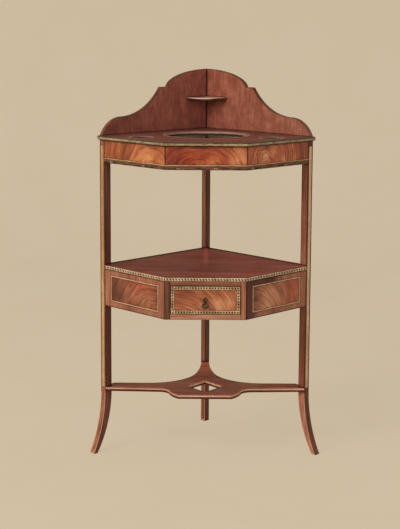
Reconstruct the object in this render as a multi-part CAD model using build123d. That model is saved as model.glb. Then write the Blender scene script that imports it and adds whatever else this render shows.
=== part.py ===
from build123d import *
import os
from math import asin, cos, degrees, sqrt

# A three-legged corner washstand. X runs to the right, Y towards the room's corner, Z up.
# The floor is at zero, and the origin is under the middle of the stand's bounding box.

# Main sizes
SIDE = 403.0                # along each wall, from the room's corner to a front leg's outer corner
FRONT_WIDE = 210.0          # the flat front, between the two cants
TOP_HEIGHT = 870.0
TOP_THICK = 11.0
APRON_HIGH = 61.0
SHELF_HEIGHT = 520.0
SHELF_THICK = 10.0
CASE_HIGH = 101.0           # drawer case, below the shelf board
STRETCHER_HEIGHT = 180.0
STRETCHER_THICK = 10.0

# Legs
LEG_DEEP = 22.0             # front leg along the wall
LEG_WIDE = 18.0             # front leg along the canted side
BACK_LEG = 17.0             # back leg, square
SPLAY = 42.0                # how far a front foot is swept out
FOOT_DEEP = 12.5
STRIP_WIDE = 11.5           # satinwood strip let into the front legs
STRIP_BELOW_TOP = 15.0

# Joinery
APRON_THICK = 15.0
WALL_RAIL_THICK = 15.0
PANEL_THICK = 15.0
BACK_PANEL_THICK = 12.0
TENON_SET = 3.0             # from the outer face to the tenon's cheek
TENON_THICK = 5.0
MORTISE_WALL = 1.0          # wood left between two mortises that meet in the back leg
TENON_SHOULDER = 8.0
JOINT_GAP = 0.1             # round tenons, dovetails, tongues and dowels
INLAY_DEEP = 1.5
TAIL_ROOT_SHARE = 0.5       # of a dovetail's pitch
TAIL_FLARE_SHARE = 1 / 6    # of a dovetail's reach, on each flank

# Top board and its edge
TOP_OVERHANG = 3.0
NOSING_DEEP = 6.0
NOSING_FLAT = 0.3           # left between the nosing's two rounds
BASIN_RADIUS = 112.0
BASIN_SHARE = 0.527         # of the depth, from the room's corner to the basin's middle
CUP_RADIUS = 28.0
CUP_FROM_CANT = 48.0
CUP_ALONG = 112.0           # from the wall

# Splashboards
SPLASH_THICK = 11.0
CREST_RISE = 168.5          # above the top board, at the corner
CREST_DROP = 50.0           # half height of the crest's ellipse
SHOULDER_RISE = 122.3
SHOULDER_LONG = 26.5
COVE_RADIUS = 169.5
COVE_RISE = 47.0            # above the top board, where the cove runs into the end roll
ROLL_RADIUS = 78.8
SPLASH_TAILS = 4
DOWEL_RADIUS = 3.0
DOWEL_DEEP = 9.0
DOWEL_SHARES = (0.25, 0.75)         # of the side
SMALL_SHELF_RADIUS = 83.5
SMALL_SHELF_THICK = 9.5
SMALL_SHELF_RISE = 90.0     # its upper face above the top board
SMALL_SHELF_BEVEL = 2.5
SMALL_SHELF_HOUSING = 3.0
SMALL_SHELF_STOP = 6.0      # the housing ends this far short of the shelf's edge

# Inlay
APRON_BAND_HIGH = 9.5
APRON_LINE_HIGH = 3.5
SHELF_BAND_EDGE = 0.75      # of the shelf board's edge, above and below its banding
LINE_WIDE = 2.5             # stringing round the case's side panels
LINE_INSET_END = 25.0
LINE_INSET_TOP = 15.0
LINE_INSET_LOW = 16.0

# Stretcher, in plan from the line through the front legs' outer corners
ARM_BACK = 35.0
ARM_FRONT = 20.0
ARM_FLARE = 125.0           # sideways from the middle to where each arm begins to flare
CUSP_SIDE = 97.0
CUSP_FRONT = 41.0
COVE_SAG = 4.0
PLATFORM_HALF = 71.0
PLATFORM_FRONT = 86.0
SWEEP_SIDE = 156.0          # where the back edge begins its sweep
WAIST_SIDE = 26.0
WAIST_BACK = 137.0
DIAMOND_SIDE = 48.0
DIAMOND_LONG = 55.0
DIAMOND_SET = 3.0
ARM_TENON_WIDE = 10.0
NECK_TENON_WIDE = 6.0
STRETCHER_TENON_THICK = 5.0

# Drawer and its case
STILE_WIDE = 13.5           # each side of the drawer opening
TOP_RAIL_HIGH = 11.2
DRAWER_DEEP = 260.0
DRAWER_PLAY = 1.0           # beside and above the drawer
RUN_GAP = 0.3               # under the drawer and behind its front
BOTTOM_RAIL_HIGH = 14.5
FRONT_THICK = 15.0
FRONT_LAP = 4.0
DRAWER_SIDE_THICK = 8.0
DRAWER_BACK_THICK = 8.0
DRAWER_BOTTOM_THICK = 5.0
DRAWER_BOTTOM_UP = 6.0
DRAWER_GROOVE = 4.0
DRAWER_TAILS = 3
BACK_DROP = 4.0             # the drawer back stands this much lower than the sides
BAND_WIDE = 8.5
BAND_INSET = 1.0
CASE_BOTTOM_THICK = 8.0
CASE_BOTTOM_UP = 2.0
CASE_GROOVE = 4.0
RUNNER_LONG = 290.0
RUNNER_WIDE = 16.0          # under the drawer side
GUIDE_WIDE = 10.0
GUIDE_HIGH = 20.0
KICKER_LONG = 250.0
KICKER_WIDE = 18.0
STOP_WIDE = 20.0
STOP_LONG = 15.0
STOP_HIGH = 4.0
STOP_SIDE = 45.0

# Drop pull
HINGE_OUT = 12.0            # from the drawer's face to the hinge line
HEAD_RADIUS = 4.2
HEAD_BEVEL = 0.8
HEAD_SLOT = 3.0
TONGUE_FIT = 0.2            # each side of the tongue, in the slot
TONGUE_RADIUS = 3.0
PIN_RADIUS = 1.0
PIN_FIT = 0.06
COLLAR_RADIUS = 3.0
SHANK_RADIUS = 2.2
SHANK_FIT = 0.1
ROSE_RADIUS = 6.5
ROSE_THICK = 1.5
ROSE_BEVEL = 0.8
NUT_RADIUS = 5.0
NUT_THICK = 3.0
SHANK_PAST_NUT = 1.5
DROP_LONG = 26.0            # from the hinge line to the drop's tip
DROP_RADIUS = 9.5
DROP_CLEAR = 1.2            # between the drop's neck and the post's head, over the whole swing
DROP_NECK = 2.4
BELL_SHARES = ((0.46, 0.1), (0.8, 0.36), (0.97, 0.72))      # radius, then depth
DROP_RIM = 2.5
DROP_FOOT = 6.4
DROP_FOOT_HIGH = 2.8

# Blocks and screws
BLOCK_SIDE = 16.0
BLOCK_LONG = 42.0
WALL_BLOCK_SHARE = 0.5      # of the rail
CANT_BLOCK_SHARE = 0.75     # of the canted apron
CORNER_BLOCK = 22.0
CORNER_BLOCK_UP = 6.0
SCREW_RADIUS = 2.0
SCREW_HEAD_RADIUS = 4.0
SCREW_HEAD_HIGH = 2.4
SCREW_BITE = 8.0

# Places that follow from the sizes
BASE = (Align.CENTER, Align.CENTER, Align.MIN)
PULL_REACH = HINGE_OUT + DROP_RADIUS
FRONT_DEPTH = SIDE * sqrt(2) - FRONT_WIDE / 2
CORNER_Y = (FRONT_DEPTH + PULL_REACH) / 2
FRONT_Y = CORNER_Y - FRONT_DEPTH
LEG_LINE_Y = CORNER_Y - SIDE / sqrt(2)
LEG_TOP = TOP_HEIGHT - TOP_THICK
APRON_LOW = LEG_TOP - APRON_HIGH
CASE_TOP = SHELF_HEIGHT - SHELF_THICK
CASE_LOW = CASE_TOP - CASE_HIGH
CASE_FLOOR = CASE_LOW + CASE_BOTTOM_UP + CASE_BOTTOM_THICK
SABRE_TOP = STRETCHER_HEIGHT - STRETCHER_THICK
TENON_LONG = BACK_LEG - TENON_SET - TENON_THICK - MORTISE_WALL
RUN_LEVEL = CASE_LOW + BOTTOM_RAIL_HIGH
KICK_LEVEL = CASE_TOP - TOP_RAIL_HIGH
OPENING_HALF = FRONT_WIDE / 2 - STILE_WIDE
DRAWER_LOW = RUN_LEVEL + RUN_GAP
DRAWER_TOP = KICK_LEVEL - DRAWER_PLAY
DRAWER_HALF = OPENING_HALF - DRAWER_PLAY
DRAWER_BACK_Y = FRONT_Y + DRAWER_DEEP
DRAWER_SIDE_TOP = DRAWER_TOP - DRAWER_PLAY
DRAWER_FLOOR_LOW = DRAWER_LOW + DRAWER_BOTTOM_UP
DRAWER_FLOOR_TOP = DRAWER_FLOOR_LOW + DRAWER_BOTTOM_THICK
BASIN_Y = CORNER_Y - FRONT_DEPTH * BASIN_SHARE
PULL_HEIGHT = (DRAWER_LOW + DRAWER_TOP) / 2 + DRAWER_PLAY
TONGUE_THICK = HEAD_SLOT - 2 * TONGUE_FIT
DROP_TOP = HEAD_RADIUS * sqrt(2) + DROP_CLEAR

# The walls' own plane: its X runs along the left wall, its Y along the right wall.
WALLS = Plane(origin=(0, CORNER_Y, 0), x_dir=(-1, -1, 0), z_dir=(0, 0, 1)).location


def spot(left, right):
    """Plan point at these distances along the left and the right wall."""
    return ((right - left) / sqrt(2), CORNER_Y - (left + right) / sqrt(2))


def front_corner(inset):
    """Plan point where the left cant meets the flat front, both moved in by inset."""
    return spot(SIDE - inset, front_corner_along(inset))


def front_corner_along(inset):
    """Distance of that point from the left wall, along the cant."""
    return (FRONT_DEPTH - inset) * sqrt(2) - (SIDE - inset)


def across(point):
    """The same plan point on the other side of the stand."""
    return (-point[0], point[1])


def block(xs, ys, zs):
    """Box between a pair of limits on each axis."""
    size = Box(xs[1] - xs[0], ys[1] - ys[0], zs[1] - zs[0], align=(Align.MIN, Align.MIN, Align.MIN))
    return Pos(xs[0], ys[0], zs[0]) * size


def prism(points, low, high):
    """Upright solid on a plan outline."""
    return Pos(0, 0, low) * extrude(Polygon(*points, align=None), amount=high - low)


def flip(shape):
    """The piece on the other side of the stand."""
    return mirror(shape, about=Plane.YZ)


def cant_strip(start, outer, inner, low, high):
    """Board along the left cant from start to the mitre, between two insets from its face."""
    points = [spot(SIDE - outer, start), front_corner(outer), front_corner(inner), spot(SIDE - inner, start)]
    return prism(points, low, high)


def front_strip(outer, inner, low, high):
    """Board along the flat front between its two mitres."""
    ends = [front_corner(outer), front_corner(inner)]
    return prism([ends[0], across(ends[0]), across(ends[1]), ends[1]], low, high)


def belt(outer, inner, low, high):
    """Left, front and right strips of one inlay that runs between the front legs."""
    left = cant_strip(LEG_WIDE, outer, inner, low, high)
    return Compound(children=[left, front_strip(outer, inner, low, high), flip(left)])


def tails(reach, thick, low, high, count, gap=0):
    """Dovetails standing from zero to reach along X, thick along Y; gap grows them for their sockets."""
    pitch = (high - low) / count
    row = []
    for number in range(count):
        middle = low + (number + 0.5) * pitch
        root = pitch * TAIL_ROOT_SHARE / 2 + gap
        tip = root + reach * TAIL_FLARE_SHARE
        far = reach + gap
        outline = [(0, middle - root), (far, middle - tip), (far, middle + tip), (0, middle + root)]
        row.append(extrude(Plane.XZ * Polygon(*outline, align=None), amount=-thick))
    return Compound(children=row)


def tenon_heights(low, high, gap):
    return (low + TENON_SHOULDER - gap, high - TENON_SHOULDER + gap)


def cant_tenon(low, high, gap=0):
    """Tenon of a board on the left cant, in the left front leg; gap makes its mortise."""
    cheeks = (SIDE - TENON_SET - TENON_THICK - gap, SIDE - TENON_SET + gap)
    return WALLS * block(cheeks, (LEG_WIDE - TENON_LONG - gap, LEG_WIDE + gap), tenon_heights(low, high, gap))


def wall_tenon(low, high, gap=0):
    """Tenon of a board along the left wall, in the left front leg."""
    face = SIDE - LEG_DEEP
    cheeks = (TENON_SET - gap, TENON_SET + TENON_THICK + gap)
    return WALLS * block((face - gap, face + TENON_LONG + gap), cheeks, tenon_heights(low, high, gap))


def back_tenon(low, high, gap=0):
    """Tenon of a board along the left wall, in the back leg."""
    cheeks = (TENON_SET - gap, TENON_SET + TENON_THICK + gap)
    return WALLS * block((BACK_LEG - TENON_LONG - gap, BACK_LEG + gap), cheeks, tenon_heights(low, high, gap))


def stretcher_tenon_heights(gap):
    middle = STRETCHER_HEIGHT - STRETCHER_THICK / 2
    return (middle - STRETCHER_TENON_THICK / 2 - gap, middle + STRETCHER_TENON_THICK / 2 + gap)


def arm_tenon(gap=0):
    """Tenon of the stretcher's left arm, in the front leg's inner face."""
    middle = SIDE - LEG_DEEP / 2
    sides = (middle - ARM_TENON_WIDE / 2 - gap, middle + ARM_TENON_WIDE / 2 + gap)
    return WALLS * block(sides, (LEG_WIDE - TENON_LONG - gap, LEG_WIDE + gap), stretcher_tenon_heights(gap))


def neck_tenon(gap=0):
    """Tenon of the stretcher's neck, through the front corner of the back leg."""
    start = CORNER_Y - BACK_LEG * sqrt(2)
    sides = (-NECK_TENON_WIDE / 2 - gap, NECK_TENON_WIDE / 2 + gap)
    return block(sides, (start - gap, start + BACK_LEG / 2 + gap), stretcher_tenon_heights(gap))


def leg_strip(gap=0):
    """Satinwood strip in the left front leg's outer face."""
    middle = LEG_WIDE / 2
    sides = (middle - STRIP_WIDE / 2 - gap, middle + STRIP_WIDE / 2 + gap)
    depth = (SIDE - INLAY_DEEP - gap, SIDE + gap)
    return WALLS * block(depth, sides, (STRETCHER_HEIGHT - gap, LEG_TOP - STRIP_BELOW_TOP + gap))


def front_leg():
    """Left front leg: straight from the stretcher up, and a tapering sabre curve below it."""
    inner = SIDE - LEG_DEEP
    toe = SIDE + SPLAY
    heel = toe - FOOT_DEEP
    outline = Polyline((inner, SABRE_TOP), (inner, LEG_TOP), (SIDE, LEG_TOP), (SIDE, SABRE_TOP))
    outline += TangentArc((SIDE, SABRE_TOP), (toe, 0), tangent=(0, -1))
    outline += Line((toe, 0), (heel, 0))
    outline += TangentArc((inner, SABRE_TOP), (heel, 0), tangent=(0, -1))
    leg = WALLS * extrude(Plane.XZ * make_face(outline.edges()), amount=-LEG_WIDE)
    for low, high in ((APRON_LOW, LEG_TOP), (CASE_LOW, CASE_TOP)):
        leg = leg - cant_tenon(low, high, JOINT_GAP) - wall_tenon(low, high, JOINT_GAP)
    return leg - arm_tenon(JOINT_GAP) - leg_strip(JOINT_GAP)


def back_leg():
    leg = WALLS * block((0, BACK_LEG), (0, BACK_LEG), (0, LEG_TOP))
    for low, high in ((APRON_LOW, LEG_TOP), (CASE_LOW, CASE_TOP)):
        mortise = back_tenon(low, high, JOINT_GAP)
        leg = leg - mortise - flip(mortise)
    return leg - neck_tenon(JOINT_GAP)


def arm_outline():
    """Right half of the stretcher's edge, from the back leg round to the front."""
    neck = across(spot(BACK_LEG, 0))
    waist = (WAIST_SIDE, LEG_LINE_Y + WAIST_BACK)
    sweep = (SWEEP_SIDE, LEG_LINE_Y + ARM_BACK)
    at_wall = (SIDE / sqrt(2) - ARM_BACK, LEG_LINE_Y + ARM_BACK)
    flare = (ARM_FLARE, LEG_LINE_Y - ARM_FRONT)
    cusp = (CUSP_SIDE, LEG_LINE_Y - CUSP_FRONT)
    nose = (PLATFORM_HALF, LEG_LINE_Y - PLATFORM_FRONT)
    leg_corners = [spot(SIDE - LEG_DEEP, 0), spot(SIDE - LEG_DEEP, LEG_WIDE), spot(SIDE, LEG_WIDE)]
    back_arc = TangentArc(sweep, waist, tangent=(-1, 0))
    edge = Polyline(across(spot(BACK_LEG, BACK_LEG)), neck)
    edge += TangentArc(waist, neck, tangent=back_arc % 1)
    edge += back_arc
    edge += Polyline(sweep, at_wall, *[across(corner) for corner in leg_corners], flare)
    run = Vector(*flare) - Vector(*across(leg_corners[-1]))
    edge += TangentArc(flare, cusp, tangent=(run.X, run.Y))
    edge += SagittaArc(cusp, nose, COVE_SAG)
    edge += Line(nose, (0, nose[1]))
    return edge


def stretcher():
    """Flat stretcher: three arms, a coved platform, and a pierced diamond."""
    half = arm_outline()
    face = make_face(half.edges() + mirror(half, about=Plane.YZ).edges())
    middle = LEG_LINE_Y + DIAMOND_SET
    diamond = Polygon((-DIAMOND_SIDE, middle), (0, middle - DIAMOND_LONG), (DIAMOND_SIDE, middle),
                      (0, middle + DIAMOND_LONG), align=None)
    board = Pos(0, 0, SABRE_TOP) * extrude(face - diamond, amount=STRETCHER_THICK)
    tenon = arm_tenon()
    return board + tenon + flip(tenon) + neck_tenon()


def cup_middle():
    """Plan centre of the left cup hole."""
    return spot(SIDE - CUP_FROM_CANT, CUP_ALONG)


def top_board():
    """Board with a basin hole, two cup holes and the splashboards' dowel holes."""
    corners = [spot(0, 0), spot(SIDE + TOP_OVERHANG, 0), front_corner(-TOP_OVERHANG)]
    board = prism(corners + [across(corners[2]), across(corners[1])], LEG_TOP, TOP_HEIGHT)
    board -= Pos(0, BASIN_Y, LEG_TOP) * Cylinder(BASIN_RADIUS, TOP_THICK, align=BASE)
    cup = Pos(*cup_middle(), LEG_TOP) * Cylinder(CUP_RADIUS, TOP_THICK, align=BASE)
    for tool in [cup, flip(cup)] + dowel_pegs(JOINT_GAP) + screws():
        board -= tool
    return board


def dowel_pegs(gap=0):
    """Dowels between the top board and both splashboards."""
    pegs = []
    for share in DOWEL_SHARES:
        place = spot(SIDE * share, SPLASH_THICK / 2)
        peg = Cylinder(DOWEL_RADIUS + gap, (DOWEL_DEEP + gap) * 2)
        pegs += [Pos(*place, TOP_HEIGHT) * peg, Pos(*across(place), TOP_HEIGHT) * peg]
    return pegs


def nosing(strip):
    """Half-round edging made from a square strip: its two outer edges are rounded."""
    radius = min(TOP_THICK / 2, NOSING_DEEP) - NOSING_FLAT
    return fillet(outer_edges(strip), radius)


def outer_edges(strip):
    """The long upper and lower edges of the strip's outer face."""
    middle = Vector(0, BASIN_Y, (LEG_TOP + TOP_HEIGHT) / 2)
    faces = [face for face in strip.faces() if abs(face.normal_at().Z) < sqrt(0.5)]
    outer = max(faces, key=lambda face: (face.center() - middle).dot(face.normal_at()) * face.area)
    return [edge for edge in outer.edges() if abs(edge.tangent_at(0).Z) < sqrt(0.5)]


def splash_face():
    """Outline of a splashboard: crest, shoulder, cove and end roll; X is along the wall."""
    crest_middle = CREST_RISE - CREST_DROP
    lift = asin((SHOULDER_RISE - crest_middle) / CREST_DROP)
    roll_middle = COVE_RISE - ROLL_RADIUS
    cove_end = SIDE - sqrt(ROLL_RADIUS ** 2 - roll_middle ** 2)
    cove_middle = COVE_RISE + COVE_RADIUS
    cove_start = cove_end - sqrt(COVE_RADIUS ** 2 - (cove_middle - SHOULDER_RISE) ** 2)
    crest_half = (cove_start - SHOULDER_LONG) / cos(lift)
    turn = degrees(lift)
    crest = EllipticalCenterArc((0, crest_middle), crest_half, CREST_DROP, turn, arc_size=90 - turn)
    outline = Polyline((SIDE, 0), (0, 0), (0, CREST_RISE))
    outline += crest
    outline += Line(crest @ 0, (cove_start, SHOULDER_RISE))
    outline += TangentArc((cove_end, COVE_RISE), (cove_start, SHOULDER_RISE), tangent=(-1, 0))
    outline += TangentArc((cove_end, COVE_RISE), (SIDE, 0), tangent=(1, 0))
    return make_face(outline.edges())


def splash_blank():
    """Left splashboard over its full length, with its dowel holes and the little shelf's housing."""
    board = WALLS * Pos(0, 0, TOP_HEIGHT) * extrude(Plane.XZ * splash_face(), amount=-SPLASH_THICK)
    for peg in dowel_pegs(JOINT_GAP):
        board -= peg
    return board - shelf_tongues(JOINT_GAP)


def splash_tails(gap=0):
    """The left splashboard's dovetails in the room's corner."""
    row = tails(SPLASH_THICK, SPLASH_THICK, 0, CREST_RISE, SPLASH_TAILS, gap)
    return WALLS * Pos(SPLASH_THICK, SPLASH_THICK, TOP_HEIGHT) * Rot(0, 0, 180) * row


def left_splashboard():
    column = (0, SPLASH_THICK)
    body = splash_blank() - WALLS * block(column, column, (TOP_HEIGHT, TOP_HEIGHT + CREST_RISE))
    return body + (splash_tails() - shelf_tongues(JOINT_GAP))


def right_splashboard():
    return flip(splash_blank()) - splash_tails(JOINT_GAP)


def corner_shelf():
    """Quarter-round shelf with an eased edge, and its tongues in both splashboards."""
    low = TOP_HEIGHT + SMALL_SHELF_RISE - SMALL_SHELF_THICK
    disc = Cylinder(SMALL_SHELF_RADIUS, SMALL_SHELF_THICK, align=BASE)
    disc = chamfer(disc.edges().filter_by(GeomType.CIRCLE), SMALL_SHELF_BEVEL)
    quarter = disc & block((0, SMALL_SHELF_RADIUS), (0, SMALL_SHELF_RADIUS), (0, SMALL_SHELF_THICK))
    return WALLS * Pos(SPLASH_THICK, SPLASH_THICK, low) * quarter + shelf_tongues()


def shelf_tongues(gap=0):
    """The little shelf's tongues, which stop short of its edge; gap makes their housings."""
    start = SPLASH_THICK - SMALL_SHELF_HOUSING - gap
    end = SPLASH_THICK + SMALL_SHELF_RADIUS - SMALL_SHELF_STOP + gap
    top = TOP_HEIGHT + SMALL_SHELF_RISE
    heights = (top - SMALL_SHELF_THICK - gap, top + gap)
    across_left = block((start, end), (start, SPLASH_THICK + gap), heights)
    across_right = block((start, SPLASH_THICK + gap), (start, end), heights)
    return WALLS * (across_left + across_right)


def left_apron():
    board = cant_strip(LEG_WIDE, 0, APRON_THICK, APRON_LOW, LEG_TOP) + cant_tenon(APRON_LOW, LEG_TOP)
    return board - apron_inlay_seat()


def front_apron():
    return front_strip(0, APRON_THICK, APRON_LOW, LEG_TOP) - apron_inlay_seat()


def apron_inlay_seat():
    """Rebate along the apron's lower edge for its banding and line."""
    return belt(0, INLAY_DEEP, APRON_LOW, APRON_LOW + APRON_BAND_HIGH + APRON_LINE_HIGH)


def wall_board(thick, low, high):
    """Board along the left wall, tenoned into the front leg and the back leg."""
    body = WALLS * block((BACK_LEG, SIDE - LEG_DEEP), (0, thick), (low, high))
    return body + wall_tenon(low, high) + back_tenon(low, high)


def corner_block(thick, low, high):
    """Glued block in the left front corner, behind boards of this thickness."""
    inner = front_corner(thick)
    along = spot(SIDE - thick, front_corner_along(thick) - CORNER_BLOCK)
    return prism([inner, (inner[0] + CORNER_BLOCK, inner[1]), along], low, high)


def screwed_places():
    """Plan place and turn of each block that also has a screw: on both walls and the front."""
    middle = BLOCK_SIDE / 2
    run = SIDE - LEG_DEEP - BACK_LEG
    wall = spot(BACK_LEG + run * WALL_BLOCK_SHARE, WALL_RAIL_THICK + middle)
    return [(wall, 45), (across(wall), -45), ((0, FRONT_Y + APRON_THICK + middle), 0)]


def glued_places():
    """Plan place and turn of each block that is only glued, on the cants."""
    run = front_corner_along(APRON_THICK) - LEG_WIDE
    cant = spot(SIDE - APRON_THICK - BLOCK_SIDE / 2, LEG_WIDE + run * CANT_BLOCK_SHARE)
    return [(cant, -45), (across(cant), 45)]


def glue_blocks():
    """Blocks that hold the top board to the aprons and rails, bored for the screws."""
    blocks = []
    for place, turn in screwed_places() + glued_places():
        wood = Rot(0, 0, turn) * Box(BLOCK_LONG, BLOCK_SIDE, BLOCK_SIDE, align=BASE)
        blocks.append(Pos(*place, LEG_TOP - BLOCK_SIDE) * wood)
    for number, hole in enumerate(screws()):
        blocks[number] -= hole
    return Compound(children=blocks)


def screw():
    """Countersunk screw, standing head down."""
    head = Cone(SCREW_HEAD_RADIUS, SCREW_RADIUS, SCREW_HEAD_HIGH, align=BASE)
    shank = Cylinder(SCREW_RADIUS, BLOCK_SIDE + SCREW_BITE, align=BASE)
    return head + shank


def screws():
    """Screws up through the walls' and the front's blocks into the top board."""
    return [Pos(*place, LEG_TOP - BLOCK_SIDE) * screw() for place, turn in screwed_places()]


def shelf_board():
    """Middle shelf, notched round the three legs, with a rebate for its banding."""
    corners = [spot(0, 0), spot(SIDE, 0), front_corner(0)]
    board = prism(corners + [across(corners[2]), across(corners[1])], CASE_TOP, SHELF_HEIGHT)
    notch = WALLS * block((SIDE - LEG_DEEP, SIDE), (0, LEG_WIDE), (CASE_TOP, SHELF_HEIGHT))
    back_notch = WALLS * block((0, BACK_LEG), (0, BACK_LEG), (CASE_TOP, SHELF_HEIGHT))
    return board - notch - flip(notch) - back_notch - shelf_banding()


def shelf_banding():
    """Chequered banding let into the shelf's front edges."""
    return belt(0, INLAY_DEEP, CASE_TOP + SHELF_BAND_EDGE, SHELF_HEIGHT - SHELF_BAND_EDGE)


def case_bottom(gap=0):
    """Floor of the drawer case, let into the boards round it and notched at the legs."""
    cant = PANEL_THICK - CASE_GROOVE - gap
    wall = BACK_PANEL_THICK - CASE_GROOVE - gap
    low = CASE_LOW + CASE_BOTTOM_UP - gap
    high = CASE_FLOOR + gap
    corners = [spot(wall, wall), spot(SIDE - cant, wall), front_corner(cant)]
    board = prism(corners + [across(corners[2]), across(corners[1])], low, high)
    notch = WALLS * block((SIDE - LEG_DEEP, SIDE), (0, LEG_WIDE), (low, high))
    back_notch = WALLS * block((0, BACK_LEG), (0, BACK_LEG), (low, high))
    return board - notch - flip(notch) - back_notch


def left_case_side():
    """Canted side of the case, with a groove for the floor and a seat for its stringing."""
    board = cant_strip(LEG_WIDE, 0, PANEL_THICK, CASE_LOW, CASE_TOP) + cant_tenon(CASE_LOW, CASE_TOP)
    return board - case_bottom(JOINT_GAP) - stringing()


def stringing():
    """Thin frame of pale wood let into the case's left side."""
    ends = (LEG_WIDE + LINE_INSET_END, front_corner_along(0) - LINE_INSET_END)
    heights = (CASE_LOW + LINE_INSET_LOW, CASE_TOP - LINE_INSET_TOP)
    long, high = ends[1] - ends[0], heights[1] - heights[0]
    ring = Rectangle(long, high) - Rectangle(long - 2 * LINE_WIDE, high - 2 * LINE_WIDE)
    middle = (SIDE, (ends[0] + ends[1]) / 2, (heights[0] + heights[1]) / 2)
    return WALLS * Pos(*middle) * extrude(Plane.YZ * ring, amount=-INLAY_DEEP)


def front_stile():
    """Left stile of the drawer opening, mitred to the canted side."""
    outer, inner = front_corner(0), front_corner(PANEL_THICK)
    points = [outer, (-OPENING_HALF, outer[1]), (-OPENING_HALF, inner[1]), inner]
    return prism(points, CASE_LOW, CASE_TOP)


def front_rail(low, high):
    """Rail across the drawer opening, above or below it."""
    rail = block((-OPENING_HALF, OPENING_HALF), (FRONT_Y, FRONT_Y + PANEL_THICK), (low, high))
    return rail - case_bottom(JOINT_GAP)


def inside_case(piece):
    """Trims a piece to the room between the case's walls, cants and front."""
    cant, wall = PANEL_THICK + JOINT_GAP, BACK_PANEL_THICK + JOINT_GAP
    corners = [spot(wall, wall), spot(SIDE - cant, wall), front_corner(cant)]
    return piece & prism(corners + [across(corners[2]), across(corners[1])], CASE_LOW, CASE_TOP)


def case_strip(outer, inner, long, low, high):
    """Left-hand strip that runs back from the drawer opening's frame."""
    back = FRONT_Y + PANEL_THICK
    return inside_case(block((-outer, -inner), (back, back + long), (low, high)))


def runner():
    """Left runner on the case floor, under the drawer's side."""
    inner = DRAWER_HALF - RUNNER_WIDE
    return case_strip(OPENING_HALF + GUIDE_WIDE, inner, RUNNER_LONG, CASE_FLOOR, RUN_LEVEL)


def guide():
    """Left guide on the runner, beside the drawer."""
    return case_strip(OPENING_HALF + GUIDE_WIDE, OPENING_HALF, RUNNER_LONG, RUN_LEVEL, RUN_LEVEL + GUIDE_HIGH)


def kicker():
    """Left kicker under the shelf, which keeps the open drawer from tipping."""
    return case_strip(DRAWER_HALF, DRAWER_HALF - KICKER_WIDE, KICKER_LONG, KICK_LEVEL, CASE_TOP)


def drawer_stop():
    """Left stop on the case floor, which the closed drawer's front meets."""
    front = FRONT_Y + FRONT_THICK + RUN_GAP
    sides = (-STOP_SIDE - STOP_WIDE / 2, -STOP_SIDE + STOP_WIDE / 2)
    return block(sides, (front, front + STOP_LONG), (CASE_FLOOR, RUN_LEVEL + STOP_HIGH))


def pair(piece):
    """A left-hand piece and its mirror image."""
    return Compound(children=[piece, flip(piece)])


def front_tails(gap=0):
    """Half-blind dovetails of the drawer's left side, in the back of the drawer's front."""
    row = tails(FRONT_THICK - FRONT_LAP, DRAWER_SIDE_THICK, DRAWER_LOW, DRAWER_SIDE_TOP, DRAWER_TAILS, gap)
    return Pos(-DRAWER_HALF, FRONT_Y + FRONT_THICK, 0) * Rot(0, 0, -90) * row


def back_tails(gap=0):
    """Through dovetails of the drawer's left side, in the drawer's back."""
    row = tails(DRAWER_BACK_THICK, DRAWER_SIDE_THICK, DRAWER_FLOOR_TOP, DRAWER_SIDE_TOP - BACK_DROP,
                DRAWER_TAILS, gap)
    inner = DRAWER_SIDE_THICK - DRAWER_HALF
    return Pos(inner, DRAWER_BACK_Y - DRAWER_BACK_THICK, 0) * Rot(0, 0, 90) * row


def drawer_bottom(gap=0):
    """Drawer's floor, grooved into its front and sides and running under its back."""
    half = DRAWER_HALF - DRAWER_SIDE_THICK + DRAWER_GROOVE + gap
    depth = (FRONT_Y + FRONT_THICK - DRAWER_GROOVE - gap, DRAWER_BACK_Y + gap)
    return block((-half, half), depth, (DRAWER_FLOOR_LOW - gap, DRAWER_FLOOR_TOP + gap))


def drawer_left_side():
    outer = -DRAWER_HALF
    inner = outer + DRAWER_SIDE_THICK
    back_inner = DRAWER_BACK_Y - DRAWER_BACK_THICK
    body = block((outer, inner), (FRONT_Y + FRONT_THICK, DRAWER_BACK_Y), (DRAWER_LOW, DRAWER_SIDE_TOP))
    body -= block((outer, inner), (back_inner, DRAWER_BACK_Y), (DRAWER_FLOOR_TOP, DRAWER_SIDE_TOP))
    return body + front_tails() + back_tails() - drawer_bottom(JOINT_GAP)


def drawer_back():
    body = block((-DRAWER_HALF, DRAWER_HALF), (DRAWER_BACK_Y - DRAWER_BACK_THICK, DRAWER_BACK_Y),
                 (DRAWER_FLOOR_TOP + JOINT_GAP, DRAWER_SIDE_TOP - BACK_DROP))
    sockets = back_tails(JOINT_GAP)
    return body - sockets - flip(sockets)


def drawer_front():
    """Drawer's front with dovetail sockets, a groove, the banding's seat and the pull's hole."""
    body = block((-DRAWER_HALF, DRAWER_HALF), (FRONT_Y, FRONT_Y + FRONT_THICK), (DRAWER_LOW, DRAWER_TOP))
    sockets = front_tails(JOINT_GAP)
    body = body - sockets - flip(sockets) - drawer_bottom(JOINT_GAP) - drawer_banding()
    hole = Cylinder(SHANK_RADIUS + SHANK_FIT, FRONT_THICK * 2)
    return body - Pos(0, FRONT_Y + FRONT_THICK / 2, PULL_HEIGHT) * Rot(90, 0, 0) * hole


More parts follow.
